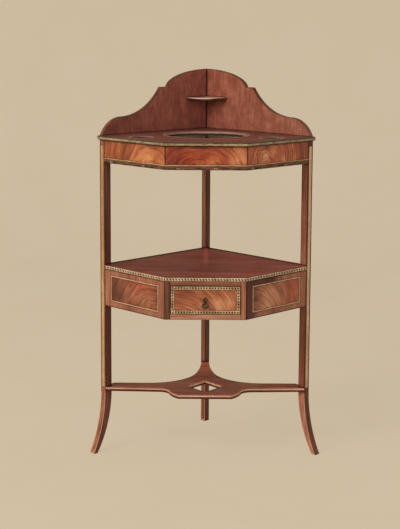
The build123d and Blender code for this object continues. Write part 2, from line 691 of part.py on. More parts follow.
def drawer_banding():
    """Four mitred strips of chequered banding round the drawer's face."""
    middle = (DRAWER_LOW + DRAWER_TOP) / 2
    outer = (DRAWER_HALF - BAND_INSET, (DRAWER_TOP - DRAWER_LOW) / 2 - BAND_INSET)
    inner = (outer[0] - BAND_WIDE, outer[1] - BAND_WIDE)
    signs = [(-1, -1), (1, -1), (1, 1), (-1, 1)]
    strips = []
    for here, there in zip(signs, signs[1:] + signs[:1]):
        points = [(sign[0] * size[0], sign[1] * size[1])
                  for sign, size in ((here, outer), (there, outer), (there, inner), (here, inner))]
        face = Plane.XZ * Polygon(*points, align=None)
        strips.append(Pos(0, FRONT_Y, middle) * extrude(face, amount=-INLAY_DEEP))
    return Compound(children=strips)


def on_pull(shape):
    """Puts a shape on the hinge line, with its Z axis running out of the drawer's face."""
    return Pos(0, FRONT_Y - HINGE_OUT, PULL_HEIGHT) * Rot(90, 0, 0) * shape


def pull_rose():
    """Round plate under the post, with a bevelled edge."""
    disc = Cylinder(ROSE_RADIUS, ROSE_THICK, align=BASE)
    disc = chamfer(disc.edges().group_by(Axis.Z)[-1], ROSE_BEVEL)
    disc -= Cylinder(SHANK_RADIUS + SHANK_FIT, ROSE_THICK * 2)
    return on_pull(Pos(0, 0, -HINGE_OUT) * disc)


def pull_post():
    """Shank through the drawer's front, a collar, and a round slotted head that carries the pin."""
    behind = HINGE_OUT + FRONT_THICK + NUT_THICK + SHANK_PAST_NUT
    shank = Pos(0, 0, -behind) * Cylinder(SHANK_RADIUS, behind, align=BASE)
    collar = Pos(0, 0, ROSE_THICK - HINGE_OUT) * Cylinder(COLLAR_RADIUS, HINGE_OUT - ROSE_THICK, align=BASE)
    head = Cylinder(HEAD_RADIUS, HEAD_RADIUS * 2)
    head = chamfer(head.edges().group_by(Axis.Z)[-1], HEAD_BEVEL)
    depth = HEAD_RADIUS + TONGUE_RADIUS + TONGUE_FIT
    slot = Box(HEAD_SLOT, HEAD_RADIUS * 4, depth, align=BASE)
    post = shank + collar + head - Pos(0, 0, -TONGUE_RADIUS - TONGUE_FIT) * slot
    return on_pull(post - hinge_bore())


def hinge_bore():
    """Hole for the hinge pin, through the post's head and the drop's tongue."""
    return Rot(0, 90, 0) * Cylinder(PIN_RADIUS + PIN_FIT, HEAD_RADIUS * 4)


def pull_pin():
    return on_pull(Rot(0, 90, 0) * Cylinder(PIN_RADIUS, HEAD_RADIUS * 2 - HEAD_BEVEL / 2))


def pull_nut():
    nut = extrude(RegularPolygon(NUT_RADIUS, 6), amount=NUT_THICK)
    nut -= Cylinder(SHANK_RADIUS + SHANK_FIT, NUT_THICK * 2)
    return on_pull(Pos(0, 0, -HINGE_OUT - FRONT_THICK - NUT_THICK) * nut)


def bell_outline():
    """Half section of the drop: neck, bell in straight runs, wider rim and a low boss under it."""
    low = -DROP_LONG
    rim_low = low + DROP_FOOT_HIGH
    rim_top = rim_low + DROP_RIM
    bell = [(DROP_RADIUS * wide, -DROP_TOP + (rim_top + DROP_TOP) * down) for wide, down in BELL_SHARES]
    rim = [(DROP_RADIUS, rim_top), (DROP_RADIUS, rim_low), (DROP_FOOT, rim_low), (DROP_FOOT, low)]
    return Polygon((0, -DROP_TOP), (DROP_NECK, -DROP_TOP), *bell, *rim, (0, low), align=None)


def pull_drop():
    """Bell-shaped drop, hanging from a flat tongue."""
    body = revolve(Plane.XZ * bell_outline(), Axis.Z)
    eye = Rot(0, 90, 0) * Cylinder(TONGUE_RADIUS, TONGUE_THICK)
    half = DROP_NECK / sqrt(2)
    stem = block((-TONGUE_THICK / 2, TONGUE_THICK / 2), (-half, half), (-DROP_TOP, 0))
    return Pos(0, FRONT_Y - HINGE_OUT, PULL_HEIGHT) * (body + eye + stem - hinge_bore())


def sub_parts():
    """Every node's name and solid."""
    leg = front_leg()
    strip = leg_strip()
    apron = left_apron()
    rail = wall_board(WALL_RAIL_THICK, APRON_LOW, LEG_TOP)
    case_back = wall_board(BACK_PANEL_THICK, CASE_LOW, CASE_TOP) - case_bottom(JOINT_GAP)
    case_side = left_case_side()
    line = stringing()
    stile = front_stile() - case_bottom(JOINT_GAP)
    side = drawer_left_side()
    cant_nosing = nosing(cant_strip(0, -TOP_OVERHANG - NOSING_DEEP, -TOP_OVERHANG, LEG_TOP, TOP_HEIGHT))
    line_low = APRON_LOW + APRON_BAND_HIGH
    return {
        "left_front_leg": leg,
        "right_front_leg": flip(leg),
        "back_leg": back_leg(),
        "left_leg_strip": strip,
        "right_leg_strip": flip(strip),
        "stretcher": stretcher(),
        "top_board": top_board(),
        "left_nosing": cant_nosing,
        "front_nosing": nosing(front_strip(-TOP_OVERHANG - NOSING_DEEP, -TOP_OVERHANG, LEG_TOP, TOP_HEIGHT)),
        "right_nosing": flip(cant_nosing),
        "left_splashboard": left_splashboard(),
        "right_splashboard": right_splashboard(),
        "splashboard_dowels": Compound(children=dowel_pegs()),
        "corner_shelf": corner_shelf(),
        "left_apron": apron,
        "front_apron": front_apron(),
        "right_apron": flip(apron),
        "apron_banding": belt(0, INLAY_DEEP, APRON_LOW, line_low),
        "apron_line": belt(0, INLAY_DEEP, line_low, line_low + APRON_LINE_HIGH),
        "left_top_rail": rail,
        "right_top_rail": flip(rail),
        "apron_corner_blocks": pair(corner_block(APRON_THICK, APRON_LOW + CORNER_BLOCK_UP, LEG_TOP)),
        "top_glue_blocks": glue_blocks(),
        "top_screws": Compound(children=screws()),
        "shelf_board": shelf_board(),
        "shelf_banding": shelf_banding(),
        "left_case_side": case_side,
        "right_case_side": flip(case_side),
        "left_stringing": line,
        "right_stringing": flip(line),
        "left_case_back": case_back,
        "right_case_back": flip(case_back),
        "left_stile": stile,
        "right_stile": flip(stile),
        "drawer_top_rail": front_rail(KICK_LEVEL, CASE_TOP),
        "drawer_bottom_rail": front_rail(CASE_LOW, RUN_LEVEL),
        "case_bottom": case_bottom(),
        "drawer_runners": pair(runner()),
        "drawer_guides": pair(guide()),
        "drawer_kickers": pair(kicker()),
        "drawer_stops": pair(drawer_stop()),
        "drawer_front": drawer_front(),
        "drawer_banding": drawer_banding(),
        "drawer_left_side": side,
        "drawer_right_side": flip(side),
        "drawer_back": drawer_back(),
        "drawer_bottom": drawer_bottom(),
        "pull_rose": pull_rose(),
        "pull_post": pull_post(),
        "pull_pin": pull_pin(),
        "pull_nut": pull_nut(),
        "pull_drop": pull_drop(),
    }


os.makedirs("parts", exist_ok=True)
for name, solid in sub_parts().items():
    export_step(solid, f"parts/{name}.step")
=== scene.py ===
from functools import partialmethod, reduce
from math import pi, sqrt

import bpy
import numpy as np
from mathutils import Matrix, Vector


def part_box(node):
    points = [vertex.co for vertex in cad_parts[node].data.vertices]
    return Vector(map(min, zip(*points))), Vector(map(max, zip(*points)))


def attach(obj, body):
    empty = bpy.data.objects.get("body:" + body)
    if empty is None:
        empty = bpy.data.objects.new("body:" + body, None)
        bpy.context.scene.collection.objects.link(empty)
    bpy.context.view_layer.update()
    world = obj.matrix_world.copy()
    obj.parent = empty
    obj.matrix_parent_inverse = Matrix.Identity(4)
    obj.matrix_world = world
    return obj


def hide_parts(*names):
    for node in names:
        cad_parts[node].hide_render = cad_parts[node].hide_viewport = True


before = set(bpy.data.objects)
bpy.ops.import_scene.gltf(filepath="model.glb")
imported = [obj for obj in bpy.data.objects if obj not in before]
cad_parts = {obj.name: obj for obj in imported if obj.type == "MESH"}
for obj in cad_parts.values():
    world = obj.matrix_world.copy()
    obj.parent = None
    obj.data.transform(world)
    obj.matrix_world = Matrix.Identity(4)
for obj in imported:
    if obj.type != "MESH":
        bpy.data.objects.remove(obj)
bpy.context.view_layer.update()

# The photograph's camera, fitted to the stand's own corners.
FRAME_LONG = 529.0              # the picture's long side, in pixels
FRAME_WIDE = 400.0
FOCAL = 1302.5                  # in pixels
MIDDLE = (205.97, 211.6)        # where the camera's axis meets the picture
DISTANCE = 3.513                # in front of the row's origin
EYE_HEIGHT = 1.1715
PITCH = 0.1447
ROLL = 0.0057
SENSOR = 36.0

PAPER = (0.645, 0.538, 0.386)
HALF = sqrt(0.5)
MM = 0.001
# the side that the lit faces turn to, for painted light and shade
LIT_SIDE = (-HALF, -HALF, 0.0)
ROUNDING = 0.0006               # how far every edge's normal is softened, in metres


# Small helpers for the shader trees

class Wiring:
    """One shader tree; numbers and colours are set on sockets, and sockets are linked."""

    def __init__(self, tree):
        self.tree = tree

    def node(self, kind, values=(), **settings):
        """A node of this kind, with values for its sockets in their order, or by name or number in a dict."""
        made = self.tree.nodes.new(kind)
        for key, value in settings.items():
            setattr(made, key, value)
        for key, value in values.items() if isinstance(values, dict) else enumerate(values):
            self.feed(made.inputs[key], value)
        return made

    def feed(self, socket, value):
        if isinstance(value, bpy.types.NodeSocket):
            self.tree.links.new(value, socket)
        else:
            socket.default_value = value

    def math(self, operation, *values):
        return self.node("ShaderNodeMath", values, operation=operation).outputs[0]

    plus = partialmethod(math, "ADD")
    minus = partialmethod(math, "SUBTRACT")
    times = partialmethod(math, "MULTIPLY")
    over = partialmethod(math, "DIVIDE")
    size = partialmethod(math, "ABSOLUTE")
    below = partialmethod(math, "LESS_THAN")
    above = partialmethod(math, "GREATER_THAN")
    smaller = partialmethod(math, "MINIMUM")
    larger = partialmethod(math, "MAXIMUM")

    def most(self, values):
        return reduce(self.larger, values)

    def weigh(self, *terms):
        """Sum of values, each times its own weight."""
        return reduce(self.plus, [self.times(*term) for term in terms])

    def vector(self, operation, *values):
        made = self.node("ShaderNodeVectorMath", values, operation=operation)
        return made.outputs["Value" if operation in ("LENGTH", "DOT_PRODUCT") else "Vector"]

    def stretch(self, vector, scales):
        return self.vector("MULTIPLY", vector, scales)

    def scale(self, vector, factor):
        made = self.node("ShaderNodeVectorMath", {0: vector, "Scale": factor}, operation="SCALE")
        return made.outputs["Vector"]

    def join(self, x, y, z=0.0):
        return self.node("ShaderNodeCombineXYZ", (x, y, z)).outputs[0]

    def split(self, vector):
        return self.node("ShaderNodeSeparateXYZ", (vector,)).outputs

    def distance(self, x, y):
        """How far (x, y) is from zero."""
        return self.vector("LENGTH", self.join(x, y))

    def here(self, kind="Object"):
        """A surface point's place, or with Normal its direction."""
        return self.node("ShaderNodeTexCoord").outputs[kind]

    def noise(self, vector, detail=4.0, roughness=0.55, distortion=0.0):
        values = {"Vector": vector, "Scale": 1.0, "Detail": detail, "Roughness": roughness,
                  "Distortion": distortion}
        return self.node("ShaderNodeTexNoise", values).outputs["Fac"]

    def range(self, value, low, high, to_low=0.0, to_high=1.0):
        """Eased from one number to the other, while the value goes from low to high."""
        values = (value, low, high, to_low, to_high)
        return self.node("ShaderNodeMapRange", values, interpolation_type="SMOOTHSTEP").outputs[0]

    def mix(self, factor, first, second, blend="MIX"):
        values = {0: factor, 6: first, 7: second}
        return self.node("ShaderNodeMix", values, data_type="RGBA", blend_type=blend).outputs[2]

    def tint(self, share, colour, tint):
        """The colour, multiplied by a tint to this share."""
        return self.mix(share, colour, self.mix(1.0, colour, tint, "MULTIPLY"))

    def ramp(self, factor, stops):
        made = self.node("ShaderNodeValToRGB", (factor,))
        band = made.color_ramp
        while len(band.elements) < len(stops):
            band.elements.new(1.0)
        for element, (place, colour) in zip(band.elements, stops):
            element.position = place
            element.color = colour
        return made.outputs[0]

    def group(self, name, **values):
        return self.node("ShaderNodeGroup", values, node_tree=bpy.data.node_groups[name]).outputs


def paint(red, green, blue):
    """Linear colour from a colour as the eye reads it on a screen, 0 to 255."""
    share = np.array((red, green, blue)) / 255
    linear = np.where(share <= 0.04045, share / 12.92, ((share + 0.055) / 1.055) ** 2.4)
    return (*[float(value) for value in linear], 1.0)


# Effects that several finishes share

def new_group(name, inputs, values, normals=()):
    """A shader group, its inputs with their defaults, and the values and normals that it puts out."""
    tree = bpy.data.node_groups.new(name, "ShaderNodeTree")
    for label, value in inputs.items():
        kind = "NodeSocketFloat" if isinstance(value, float) else "NodeSocketVector"
        socket = tree.interface.new_socket(label, in_out="INPUT", socket_type=kind)
        if value is not None:
            socket.default_value = value
    for kind, labels in (("NodeSocketFloat", values), ("NodeSocketVector", normals)):
        for label in labels:
            tree.interface.new_socket(label, in_out="OUTPUT", socket_type=kind)
    w = Wiring(tree)
    start = w.node("NodeGroupInput")
    end = w.node("NodeGroupOutput")
    return w, start.outputs, end.inputs


def make_long_grain():
    """Straight wood grain along the vector's X: broad bands, narrow streaks, fine fibres and short pores."""
    w, given, out = new_group("long_grain", {"Vector": None, "Fineness": 1.0},
                              ("Bands", "Streaks", "Fibres", "Pores"))
    fine = w.scale(given["Vector"], given["Fineness"])
    w.feed(out["Bands"], w.noise(w.stretch(fine, (2.6, 34.0, 34.0)), detail=3.0, distortion=0.35))
    streaks = w.stretch(fine, (9.0, 190.0, 190.0))
    w.feed(out["Streaks"], w.noise(streaks, detail=2.0, roughness=0.6, distortion=0.2))
    w.feed(out["Fibres"], w.noise(w.stretch(fine, (24.0, 620.0, 620.0)), detail=2.0, roughness=0.6))
    speck = w.noise(w.stretch(fine, (90.0, 1500.0, 1500.0)), detail=1.0)
    w.feed(out["Pores"], w.range(speck, 0.6, 0.72))


def make_flame_figure():
    """Crotch figure: bands, streaks and fibres along arcs round a centre, wandering with a slow noise."""
    w, given, out = new_group("flame_figure", {"Vector": None, "Centre": (0.0, 0.0, 0.0),
                                               "Squash": (1.0, 1.0, 1.0), "Wander": 0.02},
                              ("Bands", "Streaks", "Fibres", "Blotches"))
    wobble = w.node("ShaderNodeTexNoise", {"Vector": given["Vector"], "Scale": 10.0, "Detail": 2.0})
    shift = w.scale(w.vector("SUBTRACT", wobble.outputs["Color"], (0.5, 0.5, 0.5)), given["Wander"])
    place = w.vector("SUBTRACT", w.vector("ADD", given["Vector"], shift), given["Centre"])
    x, y, _ = w.split(w.stretch(place, given["Squash"]))
    reach = w.distance(x, y)
    turn = w.math("ARCTAN2", y, x)
    for label, finely, around, detail in (("Bands", 62.0, 0.9, 3.0), ("Streaks", 210.0, 1.8, 2.0),
                                          ("Fibres", 560.0, 4.5, 2.0)):
        path = w.join(w.times(reach, finely), w.times(turn, around))
        w.feed(out[label], w.noise(path, detail=detail, distortion=0.3))
    w.feed(out["Blotches"], w.noise(w.stretch(given["Vector"], (22.0, 30.0, 22.0)), detail=2.0))


def make_edge_line():
    """Masks of a piece's edges, which the wood finishes darken, and of the crevices beside them, where they
    paint shade; and its softened normal.
    """
    w, given, out = new_group("edge_line", {"Wide": 0.002, "Shallow": 0.88}, ("Edge", "Crevice"),
                              ("Normal", "Rounded"))
    soft = w.node("ShaderNodeBevel", {"Radius": given["Wide"]}, samples=6).outputs[0]
    meet = w.vector("DOT_PRODUCT", soft, w.node("ShaderNodeNewGeometry").outputs["Normal"])
    w.feed(out["Edge"], w.range(meet, 0.997, given["Shallow"]))
    near = w.node("ShaderNodeAmbientOcclusion", {"Distance": w.times(given["Wide"], 1.6)}, samples=6)
    w.feed(out["Crevice"], w.range(near.outputs["AO"], 0.9, 0.6))
    w.feed(out["Normal"], w.node("ShaderNodeBevel", {"Radius": ROUNDING}, samples=4).outputs[0])
    w.feed(out["Rounded"], soft)


def make_hand_polish():
    """Old hand polish: its roughness and depth vary in soft patches, with rubbing marks as height."""
    w, given, out = new_group("hand_polish", {"Vector": None, "Roughness": 0.35},
                              ("Roughness", "Patches", "Height"))
    patches = w.noise(w.stretch(given["Vector"], (9.0, 9.0, 9.0)))
    w.feed(out["Roughness"], w.plus(given["Roughness"], w.range(patches, 0.3, 0.7, -0.06, 0.1)))
    close = w.noise(w.stretch(given["Vector"], (55.0, 75.0, 55.0)), detail=3.0)
    w.feed(out["Patches"], w.range(close, 0.36, 0.64))
    w.feed(out["Height"], w.noise(w.stretch(given["Vector"], (160.0, 160.0, 160.0)), detail=3.0))


make_long_grain()
make_flame_figure()
make_edge_line()
make_hand_polish()


# Finishes

def new_material(name):
    """A material with an empty tree, and its wiring."""
    made = bpy.data.materials.new(name)
    made.use_nodes = True
    made.node_tree.nodes.clear()
    return made, Wiring(made.node_tree)


def place_on(w, turn, middle=(0.0, 0.0)):
    """A board's own coordinates: along it, up it and into it, with its middle at zero."""
    turned = w.node("ShaderNodeMapping", {"Vector": w.here(), "Rotation": (0.0, 0.0, turn)})
    x, y, z = w.split(turned.outputs[0])
    return w.minus(x, middle[0]), w.minus(z, middle[1]), y


def facing_up(w):
    """Height of a point's normal: 1 on an upper face, 0 on a side."""
    return w.split(w.here("Normal"))[2]


def facing_lit_side(w):
    """How far a point's face is turned to the lit side, 0 to 1, for painted light and shade."""
    return w.range(w.vector("DOT_PRODUCT", w.here("Normal"), LIT_SIDE), -0.1, 0.5)


def lay_on(w, colour, roughness, height, normal, relief, others):
    """The shader itself; relief is how strongly and how deep the height shows, others are further values."""
    bump = w.node("ShaderNodeBump", {"Strength": relief[0], "Distance": relief[1], "Height": height,
                                     "Normal": normal})
    shader = w.node("ShaderNodeBsdfPrincipled", {"Base Color": colour, "Roughness": roughness,
                                                 "Normal": bump.outputs[0], **others})
    w.node("ShaderNodeOutputMaterial", {"Surface": shader.outputs[0]})


def finish_wood(w, colour, where, height, roughness=0.42, gloss=0.22, coat=0.06, bump=0.12, line=0.0032,
                ink=0.85, wash=0.3, shallow=0.88, edge_highlight=None):
    """Polished wood: the colour with darker edges, painted shade in its crevices, darker patches, hand
    polish, and grain as fine relief.

    edge_highlight is a colour, and the height up to which the edges of faces turned to the lit side take it
    as a painted highlight.
    """
    polish = w.group("hand_polish", Vector=where, Roughness=roughness)
    colour = w.tint(w.times(polish["Patches"], wash), colour, SHADED)
    edge = w.group("edge_line", Wide=line, Shallow=shallow)
    # Darker edges, and painted shade in the crevices beside them.
    mask = w.times(w.larger(edge["Edge"], edge["Crevice"]), ink)
    edged_and_shaded = w.mix(1.0, colour, INKED, "MULTIPLY")
    if edge_highlight:
        pale, top = edge_highlight
        # Painted highlight on the edges of faces turned to the lit side.
        lit_edge_share = w.times(w.range(w.split(w.here())[2], top, top - FOOT_FADE), facing_lit_side(w))
        edged_and_shaded = w.mix(lit_edge_share, edged_and_shaded, pale)
    grain = w.plus(height, polish["Height"])
    lay_on(w, w.mix(mask, colour, edged_and_shaded), polish["Roughness"], grain, edge["Normal"], (bump, WOOD_RELIEF),
           {"Specular IOR Level": gloss, "Coat Weight": coat, "Coat Roughness": COAT_ROUGHNESS})


def grained(w, turn=0.0, upright=False, fineness=1.0):
    """A board's coordinates, their vector with the grain along its X, and the grain itself."""
    along, up, depth = place_on(w, turn)
    where = w.join(up, along, depth) if upright else w.join(along, up, depth)
    return along, up, depth, where, w.group("long_grain", Vector=where, Fineness=fineness)


def grain_tone(w, grain):
    """One value from a grain's bands, streaks and fibres."""
    tone = w.weigh((grain["Bands"], 0.42), (grain["Streaks"], 0.38), (grain["Fibres"], 0.2))
    return w.range(tone, 0.34, 0.66)


def with_pores(w, colour, grain, depth):
    """The colour with its short dark pores."""
    return w.tint(w.times(grain["Pores"], depth), colour, PORE)


def plain_wood(name, stops, turn=0.0, upright=False, pores=0.5, shaded_stops=None, low=None, **finish):
    """Straight-grained wood along the board or up it.

    shaded_stops is its colour on faces turned from the lit side, as painted shade. low is its colour at the
    foot, as painted light, and the height that this reaches up to.
    """
    made, w = new_material(name)
    _, up, _, where, grain = grained(w, turn, upright)
    tone = grain_tone(w, grain)
    colour = w.ramp(tone, stops)
    # Painted light at the foot.
    if low:
        foot, top = low
        colour = w.mix(w.range(up, top, top - FOOT_FADE), colour, w.ramp(tone, foot))
    # Painted shade on faces turned from the lit side.
    if shaded_stops:
        colour = w.mix(facing_lit_side(w), w.ramp(tone, shaded_stops), colour)
    colour = with_pores(w, colour, grain, pores)
    finish_wood(w, colour, where, w.times(grain["Fibres"], 0.6), **finish)
    return made


def top_finish():
    """The holed top: plain boards; the holes' cut wood is pale bare wood with painted light on it and painted
    shade deeper down, and the rims are pale with wear and a painted highlight.
    """
    made, w = new_material("holed_top")
    along, up, depth, where, grain = grained(w)
    colour = with_pores(w, w.ramp(grain_tone(w, grain), TOP_BROWN), grain, 0.4)
    holes, rims, shaded_depth = [], [], []
    for middle, radius in HOLES:
        off = w.distance(w.minus(along, middle[0]), w.minus(depth, middle[1]))
        hole = w.below(off, radius + HOLE_SLACK)
        under = frame_top("top_board") - radius * SHADE_START_SHARE
        holes.append(hole)
        rims.append(w.range(off, radius + WORN_AND_LIT_RIM, radius))
        # Painted shade deeper in the hole.
        shaded_depth.append(w.times(hole, w.range(up, under, under - SHADE_FADE)))
    cut = w.ramp(w.noise(w.stretch(where, (30.0, 160.0, 30.0)), detail=3.0), PALE_AND_LIT_WOOD)
    cut = w.tint(w.most(shaded_depth), cut, DEEP_HOLE_SHADE)
    # Rims pale with wear, and a painted highlight.
    colour = w.mix(w.times(w.most(rims), 0.8), colour, w.ramp(0.8, PALE_AND_LIT_WOOD))
    colour = w.mix(w.most(holes), colour, cut)
    finish_wood(w, colour, where, grain["Fibres"], roughness=0.5, gloss=0.12, coat=0.0, line=0.0026)
    return made


def splash_finish(side, name="splash", line=0.0034):
    """Splashboard: fine upright grain under soft mottling, with a dark upper edge and a dark glued corner."""
    made, w = new_material(f"{name}_{side}")
    along, up, depth, where, grain = grained(w, WALL_TURNS[side], upright=True, fineness=1.9)
    weave = w.noise(w.stretch(w.join(along, up, depth), (70.0, 700.0, 70.0)), detail=2.0)
    slow = w.noise(w.stretch(where, (26.0, 30.0, 26.0)), roughness=0.6)
    tone = w.weigh((grain["Streaks"], 0.3), (grain["Fibres"], 0.2), (slow, 0.36), (weave, 0.14))
    colour = with_pores(w, w.ramp(w.range(tone, 0.36, 0.64), SPLASH[side]), grain, 0.25)
    off = w.size(w.split(w.here())[0])
    colour = w.tint(w.range(off, *SPLASH_SIDES), colour, SPLASH_ENDS[side])
    unlit = w.minus(1.0, w.times(w.range(off, *ROLLED_END), ROLL_LIT[side]))
    crest = w.times(w.range(facing_up(w), 0.25, 0.5), unlit)
    mask = w.larger(w.times(crest, 0.8), w.times(w.range(off, *GLUE_LINE), 0.75))
    colour = w.tint(mask, colour, CREST_DARK)
    finish_wood(w, colour, where, grain["Fibres"], roughness=0.5, gloss=0.16, coat=0.0, line=line,
                shallow=0.9)
    return made


def small_shelf_finish():
    """The small shelf in painted light and shade: its upper face dark at the left and pale at the right, its
    rim the other way round, its underside darker.
    """
    made, w = new_material("pale_shelf")
    along, _, _, where, grain = grained(w, fineness=1.3)
    tone = grain_tone(w, grain)
    level = facing_up(w)
    upper = w.mix(w.range(along, *TOP_LIGHT_TURN), w.ramp(tone, SMALL_TOP_SHADED), w.ramp(tone, SMALL_SHELF))
    rim = w.mix(w.range(along, *RIM_LIGHT_TURN), w.ramp(tone, SMALL_SHELF_LIT), w.ramp(tone, SMALL_RIM_SHADED))
    colour = w.mix(w.range(level, 0.93, 0.99), rim, upper)
    # Painted shade on the underside.
    colour = w.tint(w.times(w.range(level, -0.1, -0.5), 0.8), colour, INKED)
    finish_wood(w, colour, where, grain["Fibres"], gloss=0.16, wash=0.2, line=0.0008, ink=0.3)
    return made


def shelf_top_finish():
    """The middle shelf: plain boards with dull polish in front of the back leg, darker along its two back
    edges.
    """
    made, w = new_material("shelf_mahogany")
    along, _, depth, where, grain = grained(w)
    colour = with_pores(w, w.ramp(grain_tone(w, grain), SHELF_BROWN), grain, 0.4)
    polished = w.times(w.range(w.size(along), *POLISH_ACROSS), w.range(depth, *POLISH_REACH))
    colour = w.tint(w.times(polished, 0.8), colour, DULL_POLISH)
    colour = w.tint(w.range(along, *PALER_RIGHT), colour, SHELF_RIGHT)
    corner = float(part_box("shelf_board")[1].y)
    from_wall = w.minus(w.minus(corner, depth), w.size(along))
    dark_band = w.times(w.range(from_wall, BACK_EDGE_DARKENING, BACK_EDGE_DARKENING * 0.4), 0.85)
    colour = w.tint(dark_band, colour, INKED)
    finish_wood(w, colour, where, grain["Fibres"], roughness=0.55, gloss=0.05, coat=0.0)
    return made


def stretcher_finish():
    """The stretcher: dark top and far edges, painted shade on its sides, and a painted highlight on their
    upper part and on its near edges.
    """
    made, w = new_material("stretcher_mahogany")
    _, up, depth, where, grain = grained(w, fineness=1.1)
    tone = grain_tone(w, grain)
    top = frame_top("stretcher")
    side = w.range(w.size(facing_up(w)), 0.6, 0.3)
    side_highlight = w.times(side, w.range(up, top - HIGHLIGHT_DEEP, top - HIGHLIGHT_WHOLE))
    colour = w.ramp(tone, STRETCHER_TOP)
    # Painted light on the neck.
    colour = w.tint(w.range(depth, *NECK), colour, NECK_LIT)
    lean = w.split(w.group("edge_line", Wide=STRETCHER_ROUND)["Rounded"])[1]
    colour = w.tint(w.times(w.range(lean, 0.08, 0.3), 0.8), colour, INKED)
    # Painted highlight on the near edges.
    colour = w.mix(w.times(w.range(lean, -0.1, -0.3), 0.5), colour, w.ramp(tone, STRETCHER_HIGHLIGHT))
    # Painted shade on the sides.
    colour = w.mix(side, colour, w.ramp(tone, STRETCHER_SIDE_SHADE))
    # Painted highlight on the sides' upper part.
    colour = w.mix(side_highlight, colour, w.ramp(tone, STRETCHER_HIGHLIGHT))
    colour = with_pores(w, colour, grain, 0.4)
    finish_wood(w, colour, where, grain["Fibres"], roughness=0.5, gloss=0.14, coat=0.0, line=0.0018, ink=0.7)
    return made


def edging_finish():
    """Olive-pale half-round edging, dark along its upper joint line, with painted shade along its lower line,
    and mottled along its length.
    """
    made, w = new_material("olive_edging")
    x, y, z = w.split(w.here())
    low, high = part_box("front_nosing")
    middle, half = (low.z + high.z) / 2, (high.z - low.z) / 2
    run = w.plus(x, w.times(y, w.math("SIGN", x)))
    where = w.join(run, z)
    fine = w.noise(w.stretch(where, (75.0, 260.0, 1.0)), detail=3.0, roughness=0.6)
    slow = w.noise(w.stretch(where, (17.0, 60.0, 1.0)), detail=2.0)
    colour = w.ramp(w.range(w.weigh((fine, 0.6), (slow, 0.4)), 0.33, 0.67), EDGING)
    off = w.minus(z, middle)
    upper, lower = ([half * share for share in shares] for shares in EDGING_LINES)
    # A dark joint line along the top, and painted shade along the lower line.
    dark_band = w.larger(w.range(off, *upper), w.range(off, *lower))
    colour = w.tint(w.times(dark_band, 0.9), colour, INKED)
    finish_wood(w, colour, w.join(x, z, y), fine, roughness=0.44, gloss=0.2, line=0.002, wash=0.15)
    return made


def span(name, direction):
    """Lowest and highest reach of a CAD node along a direction."""
    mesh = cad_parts[name].data
    points = np.empty(len(mesh.vertices) * 3, np.float32)
    mesh.vertices.foreach_get("co", points)
    reach = points.reshape(-1, 3) @ np.array(direction, np.float32)
    return float(reach.min()), float(reach.max())


def frame_top(name):
    """Height of a CAD node's upper end."""
    return float(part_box(name)[1].z)


def frame_low(name):
    """Height of a CAD node's lower end."""
    return float(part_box(name)[0].z)


TURNS = {"left": pi / 4, "front": 0.0, "right": -pi / 4}
WALL_TURNS = {"left": -pi / 4, "right": pi / 4}
UPWARDS = (0.0, 0.0, 1.0)
ALONG = {"left": (HALF, -HALF, 0.0), "front": (1.0, 0.0, 0.0), "right": (HALF, HALF, 0.0)}


def from_pool(w, along, up, pool):
    """How far a point is from a pool's middle: 1 on the ellipse of its half sizes."""
    x, y, wide, high = pool
    return w.distance(w.over(w.minus(along, x), wide), w.over(w.minus(up, y), high))


def flame_colour(w, along, up, look):
    """Colour of a crotch veneer: arcs round its centre, with soft patches of painted light and shade."""
    figure = w.group("flame_figure", Vector=w.join(along, up), Centre=(*look["centre"], 0.0),
                     Squash=(*look["squash"], 1.0), Wander=look["wander"])
    tone = w.weigh((figure["Bands"], 0.3), (figure["Streaks"], 0.44), (figure["Fibres"], 0.2),
                   (figure["Blotches"], 0.18))
    # Painted light and shade, lighter or darker round each middle.
    for *pool, lift in look["painted_pools"]:
        tone = w.plus(tone, w.range(from_pool(w, along, up, pool), 0.0, 1.0, lift, 0.0))
    colour = w.ramp(w.range(tone, 0.34, 0.86), look["stops"])
    for *pool, strength, tint in look.get("blushes", ()):
        share = w.times(w.range(from_pool(w, along, up, pool), 1.0, 0.1), strength)
        colour = w.tint(share, colour, (*tint, 1.0))
    return colour, figure


def flame_panel(name, side, node, border_shade=None, line=0.0042):
    """Veneered board of a CAD node; a case side has a plainer cross-grained border round its flame field.

    border_shade is where that border's dark part starts and ends along the board, and how far it leans.
    """
    made, w = new_material(name)
    ends = span(node, ALONG[side])
    heights = span(node, UPWARDS)
    middle = (sum(ends) / 2, sum(heights) / 2)
    along, up, depth = place_on(w, TURNS[side], middle)
    colour, figure = flame_colour(w, along, up, LOOKS[node])
    if node.endswith("case_side"):
        half_long, half_high, shift, rise = case_field(side)
        inside = w.times(w.below(w.size(w.minus(along, shift)), half_long),
                         w.below(w.size(w.minus(up, rise)), half_high))
        grain = w.group("long_grain", Vector=w.join(up, along, depth), Fineness=1.2)
        border = w.ramp(grain_tone(w, grain), CROSSBAND)
        if border_shade:
            start, end, lean = border_shade
            leaning = w.minus(along, w.times(up, lean))
            border = w.tint(w.range(leaning, start, end), border, BORDER_SHADE)
        colour = w.mix(inside, border, colour)
    finish_wood(w, colour, w.join(along, up, depth), figure["Streaks"], roughness=0.38, gloss=0.26, coat=0.1,
                wash=0.2, line=line, ink=1.0, shallow=0.965)
    return made


